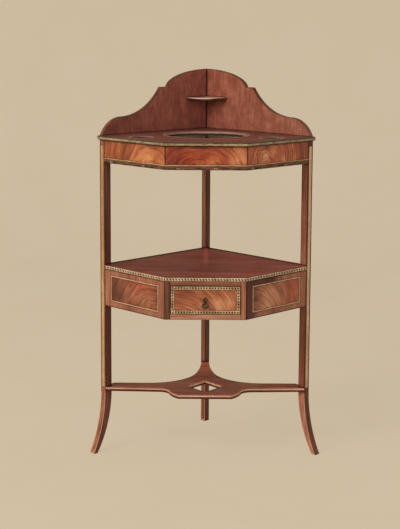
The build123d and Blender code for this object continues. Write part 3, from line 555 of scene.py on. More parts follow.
def banding_axes(w):
    """Along and across the drawer's mitred banding: the nearer outer edge sets the direction."""
    low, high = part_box("drawer_banding")
    half_long, half_high = (high.x - low.x) / 2, (high.z - low.z) / 2
    along, up, depth = place_on(w, 0.0, ((low.x + high.x) / 2, (low.z + high.z) / 2))
    from_side = w.minus(half_long, w.size(along))
    from_top = w.minus(half_high, w.size(up))
    upright = w.below(from_side, from_top)
    run = w.plus(w.times(upright, up), w.times(w.minus(1.0, upright), along))
    return run, w.smaller(from_side, from_top), w.join(along, up, depth)


def tick_mask(w, run, rise, pitch, share, low, high, slant=0.0):
    """One where a dark tick lies: repeated along the run, between two heights across the banding."""
    phase = w.math("FRACT", w.over(w.plus(run, w.times(rise, slant)), pitch))
    dark = w.below(w.size(w.minus(phase, 0.5)), share / 2)
    within = w.times(w.above(rise, low), w.below(rise, high))
    return w.times(dark, within)


def banding_finish(w, mask, where, pale, dark):
    """Pale and dark slips of wood, mottled by their grain and in soft patches."""
    grain = w.noise(w.stretch(where, (60.0, 900.0, 900.0)), detail=2.0)
    patch = w.noise(w.stretch(where, (55.0, 55.0, 55.0)), detail=2.0)
    blend = w.weigh((grain, 0.5), (patch, 0.5))
    light = w.ramp(w.range(blend, 0.35, 0.65), pale)
    deep = w.ramp(w.range(patch, 0.35, 0.65), dark)
    finish_wood(w, w.mix(mask, light, deep), where, grain, gloss=0.2, bump=0.06, line=0.0009, ink=0.5)


def apron_line_finish():
    """Thin pale line under the aprons, darker in its lower part."""
    made, w = new_material("apron_satinwood")
    low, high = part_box("apron_line")
    _, rise, where = belt_axes(w, low.z)
    fine = w.noise(w.stretch(where, (60.0, 500.0, 60.0)), detail=2.0)
    colour = w.ramp(w.range(fine, 0.35, 0.65), APRON_LINE)
    tall = high.z - low.z
    colour = w.tint(w.times(w.range(rise, tall * 0.6, tall * 0.3), 0.8), colour, SHADED_LINE)
    finish_wood(w, colour, where, fine, line=0.0006, ink=0.4)
    return made


def drawer_banding_finish():
    """Dark squares between two pale lines, inside a thin dark line, round the drawer."""
    made, w = new_material("drawer_chequer")
    run, rise, where = banding_axes(w)
    mask = w.larger(tick_mask(w, run, rise, **DRAWER_TICKS), w.below(rise, OUTER_LINE))
    banding_finish(w, mask, where, DRAWER_PALE, DRAWER_DARK)
    return made


def belt_axes(w, low_z):
    """Along and up a banding that runs round the three front sides, whichever side a point is on."""
    x, y, z = w.split(w.here())
    straight = w.smaller(w.size(x), FRONT_HALF)
    slanted = w.times(w.larger(w.minus(w.size(x), FRONT_HALF), 0.0), CANT_RUN)
    run = w.times(w.math("SIGN", x), w.plus(straight, slanted))
    return run, w.minus(z, low_z), w.join(x, z, y)


def shelf_banding_finish():
    """Dark slanting slips between pale ones, round the middle shelf."""
    made, w = new_material("shelf_chequer")
    run, rise, where = belt_axes(w, frame_low("shelf_banding"))
    mask = tick_mask(w, run, rise, **SHELF_TICKS)
    banding_finish(w, mask, where, SHELF_PALE, DRAWER_DARK)
    return made


def apron_banding_finish():
    """Dark band under the aprons, olive above and brown below, with short pale slips set in it."""
    made, w = new_material("apron_dashes")
    run, rise, where = belt_axes(w, frame_low("apron_banding"))
    slips = tick_mask(w, w.plus(run, SLIP_START), rise, **APRON_SLIPS)
    slow = w.noise(w.stretch(where, (38.0, 300.0, 38.0)), detail=1.0)
    deep = w.ramp(w.range(slow, 0.36, 0.6), APRON_DARK)
    olive = w.above(rise, OLIVE_FROM)
    deep = w.mix(olive, deep, w.ramp(w.range(slow, 0.3, 0.7), APRON_OLIVE))
    colour = w.mix(w.times(slips, 0.6), deep, w.ramp(slow, APRON_SLIP))
    finish_wood(w, colour, where, slow, roughness=0.45, gloss=0.18, bump=0.06, line=0.0012, ink=0.6)
    return made


def metal_finish(name, colour, dull, tarnish, roughness):
    """Aged metal: dull in soft patches, scratched, and tarnished in specks and in its hollows."""
    made, w = new_material(name)
    where = w.here()
    patch = w.noise(w.stretch(where, (260.0, 260.0, 260.0)))
    fine = w.noise(w.stretch(where, (2200.0, 2200.0, 2200.0)), detail=2.0)
    edge = w.group("edge_line", Wide=TARNISH_LINE)
    aged = w.mix(w.range(patch, 0.35, 0.68), colour, dull)
    aged = w.mix(w.times(w.range(fine, 0.5, 0.7), 0.4), aged, tarnish)
    lay_on(w, w.mix(edge["Crevice"], aged, tarnish), w.range(patch, 0.3, 0.7, roughness, roughness + 0.18),
           fine, edge["Normal"], METAL_RELIEF, {"Metallic": 1.0})
    return made


def ladder(*colours):
    """Ramp stops at even steps."""
    last = len(colours) - 1
    return [(number / last, paint(*colour)) for number, colour in enumerate(colours)]


# Colours as they are read on a screen, dark to light
LEG = ladder((122, 68, 50), (148, 90, 68), (172, 114, 90))
# the legs on faces turned from the lit side, as painted shade
LEG_SHADED = ladder((76, 40, 32), (98, 54, 42), (120, 70, 54))
# the right front leg's foot, with painted light
LEG_LIT_FOOT = ladder((150, 90, 70), (182, 118, 94), (206, 144, 118))
# the legs' painted edge highlight
LEG_EDGE_HIGHLIGHT = paint(206, 158, 132)
# satinwood strips: the right one paler than the left, as painted light on the right leg's shaded face
STRIP = {"left": ladder((156, 116, 72), (186, 146, 98), (208, 170, 120)),
         "right": ladder((194, 152, 116), (218, 178, 140), (236, 200, 162))}
STRETCHER_TOP = ladder((104, 54, 42), (126, 69, 53), (150, 88, 69))
# the stretcher's sides, as painted shade
STRETCHER_SIDE_SHADE = ladder((58, 32, 26), (78, 42, 32), (98, 56, 42))
# the stretcher's painted highlight
STRETCHER_HIGHLIGHT = ladder((182, 124, 104), (212, 154, 130), (230, 182, 158))
TOP_BROWN = ladder((98, 52, 44), (114, 64, 54), (134, 78, 64))
# cut wood of the holes and the rims: pale bare wood, with painted light
PALE_AND_LIT_WOOD = ladder((120, 84, 78), (156, 122, 112), (186, 156, 144))
EDGING = ladder((112, 90, 66), (150, 128, 98), (182, 162, 128))
SPLASH = {"left": ladder((118, 64, 52), (144, 82, 68), (166, 98, 80)),
          "right": ladder((124, 66, 50), (146, 84, 65), (172, 108, 86))}
# small shelf: upper face with painted light at the right and painted shade at the left; rim with painted
# light at the left and painted shade at the right
SMALL_SHELF = ladder((172, 128, 108), (200, 158, 136), (222, 184, 162))
SMALL_TOP_SHADED = ladder((112, 74, 64), (136, 92, 80), (158, 114, 100))
SMALL_SHELF_LIT = ladder((204, 160, 146), (226, 184, 170), (242, 208, 194))
SMALL_RIM_SHADED = ladder((118, 88, 62), (140, 108, 78), (160, 128, 96))
SHELF_BROWN = ladder((100, 50, 42), (122, 64, 53), (146, 82, 68))
CROSSBAND = ladder((124, 70, 52), (152, 94, 70), (176, 120, 92))
RAIL_TOP = ladder((108, 62, 48), (136, 84, 66), (160, 108, 86))
RAIL_LOW = ladder((136, 82, 62), (164, 108, 84), (190, 138, 114))
# the left stile, darker than the right one as painted shade
SHADED_STILE = ladder((72, 40, 30), (94, 58, 42), (116, 76, 56))
RAW_INSIDE = ladder((154, 134, 120), (182, 163, 147), (202, 186, 170))
CASE_BACK = ladder((108, 66, 50), (132, 86, 66), (154, 106, 82))
DRAWER_PALE = ladder((152, 122, 86), (188, 158, 116), (216, 190, 150))
DRAWER_DARK = ladder((32, 18, 14), (60, 36, 26))
SHELF_PALE = ladder((168, 140, 106), (202, 176, 140), (226, 202, 168))
APRON_DARK = ladder((56, 32, 26), (84, 50, 38), (112, 70, 52))
APRON_OLIVE = ladder((80, 58, 34), (112, 84, 52))
APRON_LINE = ladder((158, 118, 84), (184, 144, 108), (204, 168, 132))
APRON_SLIP = ladder((150, 112, 92), (186, 150, 122))
SATINWOOD = ladder((170, 130, 92), (198, 160, 120), (220, 190, 154))
PINE = ladder((158, 122, 80), (186, 150, 104), (206, 174, 128))
OAK = ladder((132, 100, 64), (164, 128, 86), (188, 152, 106))

# Tints that a colour is multiplied by
SHADED = (0.78, 0.74, 0.72, 1.0)
INKED = (0.13, 0.1, 0.1, 1.0)
PORE = (0.45, 0.38, 0.34, 1.0)
DULL_POLISH = (1.6, 1.65, 1.8, 1.0)
SHELF_RIGHT = (1.3, 1.22, 1.26, 1.0)
# painted light on the stretcher's neck
NECK_LIT = (1.95, 1.85, 1.8, 1.0)
SPLASH_ENDS = {"left": (0.8, 0.82, 0.82, 1.0), "right": (1.14, 1.32, 1.36, 1.0)}
CREST_DARK = (0.26, 0.24, 0.2, 1.0)
BORDER_SHADE = (0.26, 0.17, 0.24, 1.0)
SHADED_LINE = (0.3, 0.24, 0.2, 1.0)
# painted shade deep in the holes
DEEP_HOLE_SHADE = (0.1, 0.1, 0.11, 1.0)

# Where the finishes' parts lie and how far they reach; lengths in metres
WOOD_RELIEF = 0.0004            # how deep its grain shows
METAL_RELIEF = (0.15, 0.0001)   # how strong and how deep its scratches show
COAT_ROUGHNESS = 0.25
TARNISH_LINE = 0.0016           # how wide tarnish lies in a metal piece's hollows
FOOT_FADE = 0.01                # over which the legs' paler feet with painted light and their painted edge highlights end
POLISH_ACROSS = (0.009, 0.005)  # half the width of the dull polish in front of the back leg, faded and whole
POLISH_REACH = (-0.17, 0.1)     # along Y, where it starts and is whole
PALER_RIGHT = (-0.02, 0.14)     # along X, where the middle shelf starts to be paler and is palest
BACK_EDGE_DARKENING = 0.017               # along Y, how far the darkening reaches from the middle shelf's two back edges
NECK = (0.06, 0.17)             # along Y, where the painted light on the stretcher's neck starts and is whole
HIGHLIGHT_DEEP = 0.0054            # under its upper face, where the painted highlight on its sides ends
HIGHLIGHT_WHOLE = 0.0036           # and down to where it is whole
STRETCHER_ROUND = 0.014         # how far the softened normal that finds its near and far edges looks
SPLASH_SIDES = (0.1, 0.27)      # from the middle, where the splashboards' tint starts and is whole
ROLLED_END = (0.25, 0.262)      # the same for their rolled ends
ROLL_LIT = {"left": 1.0, "right": 0.5}                          # how far the crest's dark fades there
GLUE_LINE = (0.0026, 0.0012)    # the same as SPLASH_SIDES for the dark line in their corner
TOP_LIGHT_TURN = (-0.03, 0.015)     # along X, where the small shelf's upper face goes from painted shade to painted light
RIM_LIGHT_TURN = (-0.005, 0.035)      # and where its rim goes from painted light to painted shade
CASE_SHADE = {"left": None, "right": (-0.02, -0.07, 0.95)}      # as flame_panel's docstring says
EDGING_LINES = ((0.12, 0.46), (-0.52, -0.8))     # up and down the edging, as shares of half its height: its dark joint line above and its painted shade below
CASE_LINE = 0.0065              # how wide the case sides' dark edge is

# Bandings, in metres along and across them; share is a dark slip's part of the pitch
FRONT_HALF = 0.105              # half the front's width; past it the sides slant away
CANT_RUN = 1.08                 # the run there, for each step along X
DRAWER_TICKS = {"pitch": 0.0073, "share": 0.58, "low": 0.0022, "high": 0.0064}
SHELF_TICKS = {"pitch": 0.0077, "share": 0.54, "low": 0.0012, "high": 0.0064, "slant": 0.5}
APRON_SLIPS = {"pitch": 0.096, "share": 0.1, "low": 0.0024, "high": 0.0056}
SLIP_START = 0.024              # how far the apron's slips are shifted along it
OUTER_LINE = 0.0007             # how wide the dark line at the drawer banding's outer edge is
OLIVE_FROM = 0.0062             # up the apron's banding, where its olive part starts

# Holes of the top, with the source's sizes in metres
SIDE = 0.403                    # of the plan's square, along each wall
PULL_REACH = 0.0215             # in front of the drawer
BASIN_RADIUS = 0.112
BASIN_SHARE = 0.527             # of the depth, from the room's corner to the basin's middle
CUP_RADIUS = 0.028
CUP_FROM_CANT = 0.048
CUP_ALONG = 0.112               # from the wall
HOLE_SLACK = 0.0002             # added to a hole's radius, so that its wall counts as cut wood
WORN_AND_LIT_RIM = 0.01                 # how far round a hole the top is pale with wear and carries a painted highlight
SHADE_START_SHARE = 0.045               # times a hole's radius: how far down the painted shade in its cut wood starts
SHADE_FADE = 0.0016               # and the depth over which that painted shade grows whole


def hole_places():
    """Plan middle and radius of the basin and cup holes, when the pull counts in the stand's depth."""
    depth = SIDE * sqrt(2) - FRONT_HALF
    corner = (depth + PULL_REACH) / 2
    out = SIDE - CUP_FROM_CANT
    x, y = (CUP_ALONG - out) * HALF, corner - (out + CUP_ALONG) * HALF
    basin = (0.0, corner - depth * BASIN_SHARE)
    return [(basin, BASIN_RADIUS), ((x, y), CUP_RADIUS), ((-x, y), CUP_RADIUS)]


HOLES = hole_places()

LOOKS = {
    "left_apron": {"centre": (0.075, -0.075), "squash": (1.0, 0.75), "wander": 0.03,
                   "painted_pools": [(0.05, -0.002, 0.07, 0.045, 0.15), (0.115, 0.0, 0.05, 0.06, 0.04),
                             (-0.03, 0.0, 0.03, 0.08, -0.12)],
                   "stops": ladder((104, 50, 30), (138, 72, 42), (164, 92, 54), (190, 118, 72),
                                   (210, 146, 98))},
    "front_apron": {"centre": (-0.02, -0.045), "squash": (0.9, 1.0), "wander": 0.035,
                    "painted_pools": [(0.086, 0.0, 0.045, 0.07, 0.16), (0.01, -0.01, 0.06, 0.05, 0.05),
                              (-0.085, 0.0, 0.07, 0.07, -0.08)],
                    "blushes": [(-0.03, -0.01, 0.1, 0.05, 0.8, (1.04, 0.76, 0.62))],
                    "stops": ladder((92, 36, 26), (128, 54, 34), (154, 74, 44), (180, 106, 68),
                                    (204, 144, 106))},
    "right_apron": {"centre": (-0.056, -0.035), "squash": (1.15, 0.8), "wander": 0.02,
                    "painted_pools": [(-0.056, -0.006, 0.032, 0.03, 0.16), (0.0, 0.0, 0.05, 0.05, 0.04),
                              (0.1, 0.0, 0.06, 0.08, -0.1)],
                    "stops": ladder((108, 52, 38), (146, 76, 52), (176, 98, 68), (202, 134, 96),
                                    (222, 172, 132))},
    "left_case_side": {"centre": (0.085, -0.055), "squash": (0.9, 1.0), "wander": 0.02,
                       "painted_pools": [(0.03, 0.01, 0.08, 0.05, 0.1), (0.06, -0.03, 0.04, 0.03, 0.06),
                                 (-0.07, 0.0, 0.05, 0.07, -0.1)],
                       "blushes": [(0.03, 0.022, 0.08, 0.03, 0.9, (1.02, 0.72, 0.68)),
                                   (0.03, -0.04, 0.09, 0.03, 0.6, (0.9, 0.96, 0.9))],
                       "stops": ladder((84, 44, 33), (116, 65, 46), (140, 81, 57), (162, 99, 71),
                                       (184, 131, 97))},
    "drawer_front": {"centre": (-0.075, -0.12), "squash": (1.0, 0.85), "wander": 0.025,
                     "painted_pools": [(0.045, -0.008, 0.05, 0.045, 0.17), (-0.02, -0.01, 0.06, 0.06, 0.04),
                               (-0.06, 0.02, 0.05, 0.03, -0.08)],
                     "stops": ladder((100, 50, 34), (140, 76, 50), (164, 96, 64), (188, 124, 88),
                                     (206, 152, 118))},
    "right_case_side": {"centre": (-0.1, -0.1), "squash": (0.9, 0.75), "wander": 0.03,
                        "painted_pools": [(-0.035, -0.015, 0.06, 0.05, 0.12), (0.065, 0.012, 0.05, 0.05, 0.04),
                                  (-0.1, 0.02, 0.05, 0.07, -0.16)],
                        "blushes": [(0.06, 0.0, 0.06, 0.09, 1.0, (1.0, 0.66, 0.62))],
                        "stops": ladder((100, 56, 44), (140, 86, 64), (166, 106, 78), (192, 132, 98),
                                        (212, 162, 126))},
}


def case_field(side):
    """Half sizes and middle of the field inside the stringing, measured from the board's middle."""
    board, line = f"{side}_case_side", f"{side}_stringing"
    ends, line_ends = span(board, ALONG[side]), span(line, ALONG[side])
    heights, line_heights = span(board, UPWARDS), span(line, UPWARDS)
    return ((line_ends[1] - line_ends[0]) / 2, (line_heights[1] - line_heights[0]) / 2,
            (sum(line_ends) - sum(ends)) / 2, (sum(line_heights) - sum(heights)) / 2)


def dress():
    """Gives every CAD node its finish."""
    under = frame_low("stretcher")
    legs = {"upright": True, "shaded_stops": LEG_SHADED, "edge_highlight": (LEG_EDGE_HIGHLIGHT, under), "line": 0.0055,
            "shallow": 0.97}
    leg = plain_wood("leg_mahogany", LEG, **legs)
    line = plain_wood("satinwood_line", SATINWOOD, pores=0.2, line=0.0006, ink=0.3)
    bare = {"coat": 0.0, "line": 0.0012, "ink": 0.5}
    pine = plain_wood("bare_pine", PINE, roughness=0.7, gloss=0.1, **bare)
    oak = plain_wood("bare_oak", OAK, roughness=0.66, gloss=0.12, pores=0.8, **bare)
    brass = metal_finish("old_brass", paint(150, 118, 92), paint(24, 14, 10), paint(8, 5, 4), 0.16)
    steel = metal_finish("dull_steel", paint(140, 136, 130), paint(98, 94, 90), paint(60, 54, 50), 0.42)
    edging = edging_finish()
    finishes = {
        "left_front_leg": leg, "back_leg": leg,
        "right_front_leg": plain_wood("right_leg_mahogany", LEG, low=(LEG_LIT_FOOT, under), **legs),
        "stretcher": stretcher_finish(),
        "top_board": top_finish(),
        "corner_shelf": small_shelf_finish(),
        "apron_line": apron_line_finish(), "apron_banding": apron_banding_finish(),
        "shelf_board": shelf_top_finish(), "shelf_banding": shelf_banding_finish(),
        # The left stile is darker than the right one: painted shade.
        "left_stile": plain_wood("shaded_stile", SHADED_STILE, upright=True, line=0.0026),
        "right_stile": plain_wood("stile_mahogany", CROSSBAND, upright=True, line=0.0026),
        "drawer_top_rail": plain_wood("top_rail_mahogany", RAIL_TOP, line=0.003),
        "drawer_bottom_rail": plain_wood("bottom_rail_mahogany", RAIL_LOW, line=0.003),
        "drawer_front": flame_panel("flame_drawer", "front", "drawer_front"),
        "drawer_banding": drawer_banding_finish(),
        "top_screws": steel,
        **dict.fromkeys(("drawer_left_side", "drawer_right_side", "drawer_back", "drawer_bottom"), oak),
        **dict.fromkeys(("splashboard_dowels", "apron_corner_blocks", "top_glue_blocks", "case_bottom",
                         "drawer_runners", "drawer_guides", "drawer_kickers", "drawer_stops"), pine),
        **dict.fromkeys(("pull_rose", "pull_post", "pull_pin", "pull_nut", "pull_drop"), brass),
    }
    for side in TURNS:
        finishes[f"{side}_nosing"] = edging
        finishes[f"{side}_apron"] = flame_panel(f"flame_{side}_apron", side, f"{side}_apron")
    for side, turn in WALL_TURNS.items():
        finishes[f"{side}_splashboard"] = splash_finish(side)
        finishes[f"{side}_leg_strip"] = plain_wood(f"satinwood_{side}", STRIP[side], upright=True, pores=0.2,
                                                   line=0.003, ink=0.75, wash=0.7)
        finishes[f"{side}_stringing"] = line
        finishes[f"{side}_case_side"] = flame_panel(f"flame_{side}_case", side, f"{side}_case_side",
                                                    CASE_SHADE[side], CASE_LINE)
        finishes[f"{side}_top_rail"] = plain_wood(f"raw_inside_{side}", RAW_INSIDE, turn, roughness=0.7,
                                                  gloss=0.08, coat=0.0)
        finishes[f"{side}_case_back"] = plain_wood(f"case_back_{side}", CASE_BACK, turn, roughness=0.6,
                                                   gloss=0.1, coat=0.0)
    for name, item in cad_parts.items():
        item.data.materials.clear()
        item.data.materials.append(finishes[name])
    return finishes


FINISHES = dress()


# Pieces worked out as turned surfaces, in millimetres about their own axis, then put in place in metres

def arc(middle, radii, first, last, steps):
    """Profile points (m + a cos t, n + b sin t) from the angle first to the angle last."""
    turn = np.linspace(first, last, steps)
    return np.stack((middle[0] + radii[0] * np.cos(turn), middle[1] + radii[1] * np.sin(turn)), axis=1)


def turned(profile, steps, start=0.0, sweep=2 * pi):
    """A profile turned about Z: radius r and height h go to (r cos a, r sin a, h) at each angle a.

    Its first and last points lie on the axis and close the poles. A part turn gets a flat end at each side.
    """
    whole = sweep > 2 * pi - 0.001
    angles = start + sweep * np.arange(steps + (0 if whole else 1)) / steps
    radius, height = profile[1:-1, :1], profile[1:-1, 1:]
    rings = np.stack(np.broadcast_arrays(radius * np.cos(angles), radius * np.sin(angles), height), axis=-1)
    points = np.concatenate((rings.reshape(-1, 3), [(0.0, 0.0, profile[0, 1]), (0.0, 0.0, profile[-1, 1])]))
    index = np.arange(rings.shape[0] * rings.shape[1]).reshape(rings.shape[:2])
    here, after = (index, np.roll(index, -1, axis=1)) if whole else (index[:, :-1], index[:, 1:])
    low, high = np.full(here.shape[1], index.size), np.full(here.shape[1], index.size + 1)
    faces = np.stack((here[:-1], after[:-1], after[1:], here[1:]), axis=-1).reshape(-1, 4).tolist()
    faces += np.stack((low, after[0], here[0]), axis=-1).tolist()
    faces += np.stack((here[-1], after[-1], high), axis=-1).tolist()
    if not whole:
        faces.append([index.size, *index[:, 0].tolist(), index.size + 1])
        faces.append([index.size + 1, *index[::-1, -1].tolist(), index.size])
    return points, faces


def slab(along, out, heights):
    """Box between two places on each axis: its corners are their eight combinations."""
    points = np.stack(np.meshgrid(along, out, heights, indexing="ij"), axis=-1).reshape(-1, 3)
    faces = [[0, 1, 3, 2], [4, 6, 7, 5], [0, 4, 5, 1], [2, 3, 7, 6], [0, 2, 6, 4], [1, 5, 7, 3]]
    return points, faces


def set_out(part, turn, place):
    """A part turned by a 3 x 3 matrix, brought to metres and moved to its place."""
    points, faces = part
    return points @ np.array(turn, float).T * MM + np.array(place, float), faces


def one_piece(name, parts, finish, body, node):
    """Joins closed parts in one smooth-shaded mesh, which stands for a CAD node and rides on its body."""
    starts = np.cumsum([0] + [len(points) for points, _ in parts])
    faces = [[corner + int(start) for corner in face]
             for (_, part), start in zip(parts, starts) for face in part]
    mesh = bpy.data.meshes.new(name)
    mesh.from_pydata(np.concatenate([points for points, _ in parts]).tolist(), [], faces)
    mesh.polygons.foreach_set("use_smooth", np.ones(len(mesh.polygons), bool))
    mesh.set_sharp_from_angle(angle=CREASE)
    mesh.materials.append(finish)
    piece = bpy.data.objects.new(name, mesh)
    bpy.context.collection.objects.link(piece)
    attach(piece, body)
    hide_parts(node)
    return piece


CREASE = 0.7                    # an edge that turns by more than this angle stays sharp, in radians
HINGE = sum(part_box("pull_pin"), Vector()) / 2
UPRIGHT = ((1, 0, 0), (0, 1, 0), (0, 0, 1))
FACING_OUT = ((1, 0, 0), (0, 0, -1), (0, 1, 0))         # the profile's axis out of the drawer's face
ACROSS = ((0, 0, 1), (1, 0, 0), (0, 1, 0))              # the profile's axis along X
ACROSS_BACK = ((0, 0, -1), (-1, 0, 0), (0, 1, 0))
SPLASH_FACE = 11.0              # from the wall, in millimetres, as all sizes of these pieces
SHELF_SUNK = 0.5                # the small shelf goes this far into the splashboards' faces
TONGUE_DEEP = 3.0               # into the splashboard
TONGUE_LAP = 0.05               # past the splashboard's face, and short of the shelf's faces
TONGUE_FROM = 8.0               # along the wall, from the room's corner
TONGUE_TO = 88.0
LENS_ENDS = 0.2                 # share of its depth that the small shelf has at the splashboards
ON_LEFT_WALL = ((-HALF, HALF, 0), (-HALF, -HALF, 0), (0, 0, 1))
ON_RIGHT_WALL = ((-HALF, -HALF, 0), (HALF, -HALF, 0), (0, 0, 1))


def bell_drop():
    """Pear drop, heights from the hinge line: a quarter-round boss, two half-round rings, a bell and a bead.

    The bell's radius at the share d of its depth is 3.1 + 4.9 (1 - (1 - d) ^ 2) ^ 0.75.
    """
    depth = np.linspace(0.985, 0.02, 22)
    bell = np.stack((3.1 + 4.9 * (1 - (1 - depth) ** 2) ** 0.75, -5.7 - 6.3 * depth), axis=1)
    profile = np.concatenate((
        arc((0.0, -20.0), (4.6, 2.6), -pi / 2, -0.05, 12), arc((5.3, -18.7), (1.6, 1.25), -pi / 2, 1.3, 12),
        arc((7.6, -14.5), (1.8, 2.3), -1.75, 1.4, 16), bell, arc((2.6, -5.3), (1.1, 0.5), -1.3, pi / 2, 10),
        [(0.0, -4.8)]))
    edge = arc((2.4, -0.7), (0.6, 0.6), -pi / 2, 0.0, 6)
    eye = np.concatenate(([(0.0, -1.3)], edge, edge[::-1] * (1, -1), [(0.0, 1.3)]))
    stem = np.array([(0.0, -6.4), (1.3, -6.4), (1.15, -4.4), (1.3, -2.2), (0.0, -2.2)])
    broad = ((1, 0, 0), (0, 1.3, 0), (0, 0, 1))
    parts = [set_out(turned(profile, 48), UPRIGHT, HINGE), set_out(turned(eye, 32), ACROSS, HINGE),
             set_out(turned(stem, 16), broad, HINGE)]
    one_piece("bell_drop", parts, FINISHES["pull_drop"], "pull", "pull_drop")


def ball_post():
    """Post: two cheeks of a ball with a flat at each pin end, and a waisted collar on the shank."""
    cheek = np.concatenate(([(0.0, 1.5)], arc((0.0, 0.0), (4.2, 4.2), 0.366, 1.19, 14), [(0.0, 3.9)]))
    neck = np.concatenate((
        [(0.0, -31.5), (1.9, -31.5), (2.2, -31.2), (2.2, -10.6)],
        arc((3.3, -9.9), (1.0, 0.6), -pi / 2, pi / 2, 8), arc((4.4, -6.6), (1.9, 2.6), -2.2, -4.1, 12),
        [(3.1, -3.3), (0.0, -3.3)]))
    parts = [set_out(turned(cheek, 36), ACROSS, HINGE), set_out(turned(cheek, 36), ACROSS_BACK, HINGE),
             set_out(turned(neck, 36), FACING_OUT, HINGE)]
    one_piece("ball_post", parts, FINISHES["pull_post"], "drawer", "pull_post")


def moulded_rose():
    """Rose: a flat back, a half-round rim, a cove and a raised middle."""
    profile = np.concatenate((
        [(0.0, -12.0)], arc((6.1, -11.6), (0.4, 0.4), -pi / 2, pi / 2, 8),
        arc((5.6, -10.7), (0.7, 0.5), -pi / 2, -pi, 6), [(4.5, -10.5), (0.0, -10.5)]))
    part = set_out(turned(profile, 48), FACING_OUT, HINGE)
    one_piece("moulded_rose", [part], FINISHES["pull_rose"], "drawer", "pull_rose")


def lens_shelf():
    """Quarter-round shelf with a thin rounded edge over a quarter-ellipse underside, and its two tongues.

    Its depth under the upper face is full on the corner's bisector and falls to the share s = LENS_ENDS at
    the splashboards, as s + (1 - s) sin 2a for the angle a from one of them. The tongues fill their housings,
    and look like the boards.
    """
    low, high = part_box("corner_shelf")
    thick = (high.z - low.z) / MM
    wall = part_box("back_leg")[1].y
    corner = wall - (SPLASH_FACE - SHELF_SUNK) * MM * sqrt(2)
    under = arc((56.0, thick - 3.6), (26.2, thick - 3.6), -pi / 2, -0.12, 14)
    nose = arc((81.9, thick - 1.9), (1.6, 1.9), -0.9, pi / 2, 8)
    profile = np.concatenate(([(0.0, 0.0)], under, nose, [(0.0, thick)]))
    points, faces = turned(profile, 40, start=1.25 * pi, sweep=pi / 2)
    angle = np.arctan2(points[:, 1], points[:, 0]) % (2 * pi) - 1.25 * pi
    middle = np.hypot(points[:, 0], points[:, 1]) < 0.001
    lens = np.where(middle, 1.0, LENS_ENDS + (1 - LENS_ENDS) * np.sin(2 * np.clip(angle, 0.0, pi / 2)))
    points[:, 2] = thick - (thick - points[:, 2]) * lens
    part = set_out((points, faces), UPRIGHT, (0.0, corner, low.z))
    out = (SPLASH_FACE - TONGUE_DEEP, SPLASH_FACE + TONGUE_LAP)
    level = (TONGUE_LAP, thick - TONGUE_LAP)
    places = (((TONGUE_FROM, TONGUE_TO), ON_LEFT_WALL), ((-TONGUE_TO, -TONGUE_FROM), ON_RIGHT_WALL))
    tongues = [set_out(slab(along, out, level), turn, (0.0, wall, low.z)) for along, turn in places]
    piece = one_piece("lens_shelf", [part, *tongues], FINISHES["corner_shelf"], "frame", "corner_shelf")
    for number, side in enumerate(("left", "right"), 1):
        piece.data.materials.append(splash_finish(side, "tongue", 0.0002))
        first = len(faces) + 6 * (number - 1)
        for face in range(first, first + 6):
            piece.data.polygons[face].material_index = number


bell_drop()
ball_post()
moulded_rose()
lens_shelf()


# Stage, light and camera

def seen_directly(w):
    """One for rays from the camera, off gloss or through glass; zero for light that falls on the stand."""
    path = w.node("ShaderNodeLightPath")
    return w.most([path.outputs[f"Is {kind} Ray"] for kind in ("Camera", "Glossy", "Transmission")])


SHEET_REACH = 24.0              # to the sides and towards the camera


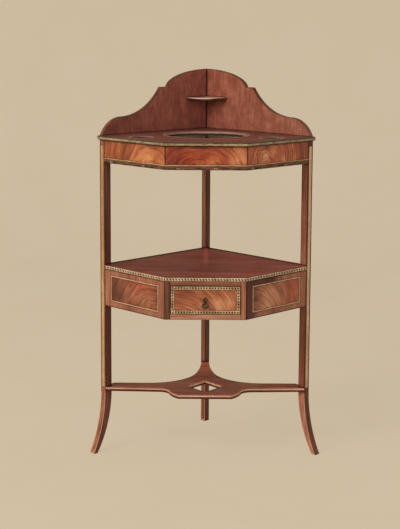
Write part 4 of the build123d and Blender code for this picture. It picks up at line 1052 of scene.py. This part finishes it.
def stage_sheet():
    """Floor and backdrop in one sheet: flat, then a quarter turn, then upright."""
    reach, radius, height, steps = 2.6, 1.2, 4.0, 24
    turn = np.linspace(0.0, pi / 2, steps)
    side = np.concatenate([[-SHEET_REACH], reach + radius * np.sin(turn), [reach + radius]])
    lift = np.concatenate([[0.0], radius - radius * np.cos(turn), [height]])
    wide = np.array([-SHEET_REACH, SHEET_REACH])
    points = np.array([(x, y, z) for y, z in zip(side, lift) for x in wide])
    faces = [(2 * n, 2 * n + 1, 2 * n + 3, 2 * n + 2) for n in range(len(side) - 1)]
    mesh = bpy.data.meshes.new("paper_sheet")
    mesh.from_pydata(points.tolist(), [], faces)
    sheet = bpy.data.objects.new("paper_sheet", mesh)
    bpy.context.collection.objects.link(sheet)
    made, w = new_material("tan_paper")
    fibre = w.range(w.noise(w.stretch(w.here(), (3.0, 3.0, 3.0)), detail=5.0), 0.3, 0.7)
    tone = w.mix(fibre, (PAPER[0] * 0.985, PAPER[1] * 0.98, PAPER[2] * 0.97, 1.0), (*PAPER, 1.0))
    lit, glow = (w.node(kind, {"Color": tone}).outputs[0]
                 for kind in ("ShaderNodeBsdfDiffuse", "ShaderNodeEmission"))
    blend = w.node("ShaderNodeMixShader", (w.times(seen_directly(w), 0.8), lit, glow))
    w.node("ShaderNodeOutputMaterial", {"Surface": blend.outputs[0]})
    mesh.materials.append(made)


def lamp(name, place, target, size, power, colour):
    """Square soft light aimed at a point."""
    light = bpy.data.lights.new(name, "AREA")
    light.shape = "SQUARE"
    light.size = size
    light.energy = power
    light.color = colour
    item = bpy.data.objects.new(name, light)
    item.location = place
    item.rotation_mode = "QUATERNION"
    item.rotation_quaternion = (Vector(target) - Vector(place)).to_track_quat("-Z", "Y")
    bpy.context.collection.objects.link(item)


def room_light():
    """Pale room light, the paper's colour where it is seen, a key lamp at the left and a fill in front."""
    world = bpy.data.worlds.new("studio")
    world.use_nodes = True
    world.node_tree.nodes.clear()
    w = Wiring(world.node_tree)
    skies = [w.node("ShaderNodeBackground", {"Color": colour, "Strength": strength}).outputs[0]
             for colour, strength in (((1.0, 0.97, 0.92, 1.0), 0.54), ((*PAPER, 1.0), 1.0))]
    blend = w.node("ShaderNodeMixShader", (seen_directly(w), *skies))
    w.node("ShaderNodeOutputWorld", {"Surface": blend.outputs[0]})
    bpy.context.scene.world = world
    lamp("key", (-2.6, -2.4, 2.6), (0.0, 0.0, 0.6), 1.8, 98.0, (1.0, 0.96, 0.9))
    lamp("fill", (1.8, -3.4, 1.6), (0.0, 0.0, 0.5), 2.2, 26.0, (1.0, 0.97, 0.93))


def camera():
    """The photograph's view: above the stand's front, looking along Y and a little down."""
    data = bpy.data.cameras.new("photo_view")
    data.sensor_width = SENSOR
    data.lens = FOCAL / FRAME_LONG * SENSOR
    data.shift_x = (FRAME_WIDE / 2 - MIDDLE[0]) / FRAME_LONG
    data.shift_y = (MIDDLE[1] - FRAME_LONG / 2) / FRAME_LONG
    item = bpy.data.objects.new("photo_view", data)
    turn = Matrix.Rotation(pi / 2 - PITCH, 4, "X") @ Matrix.Rotation(ROLL, 4, "Z")
    item.matrix_world = Matrix.Translation((0.0, -DISTANCE, EYE_HEIGHT)) @ turn
    bpy.context.collection.objects.link(item)
    bpy.context.scene.camera = item


stage_sheet()
room_light()
camera()
bpy.context.scene.view_settings.view_transform = "Standard"
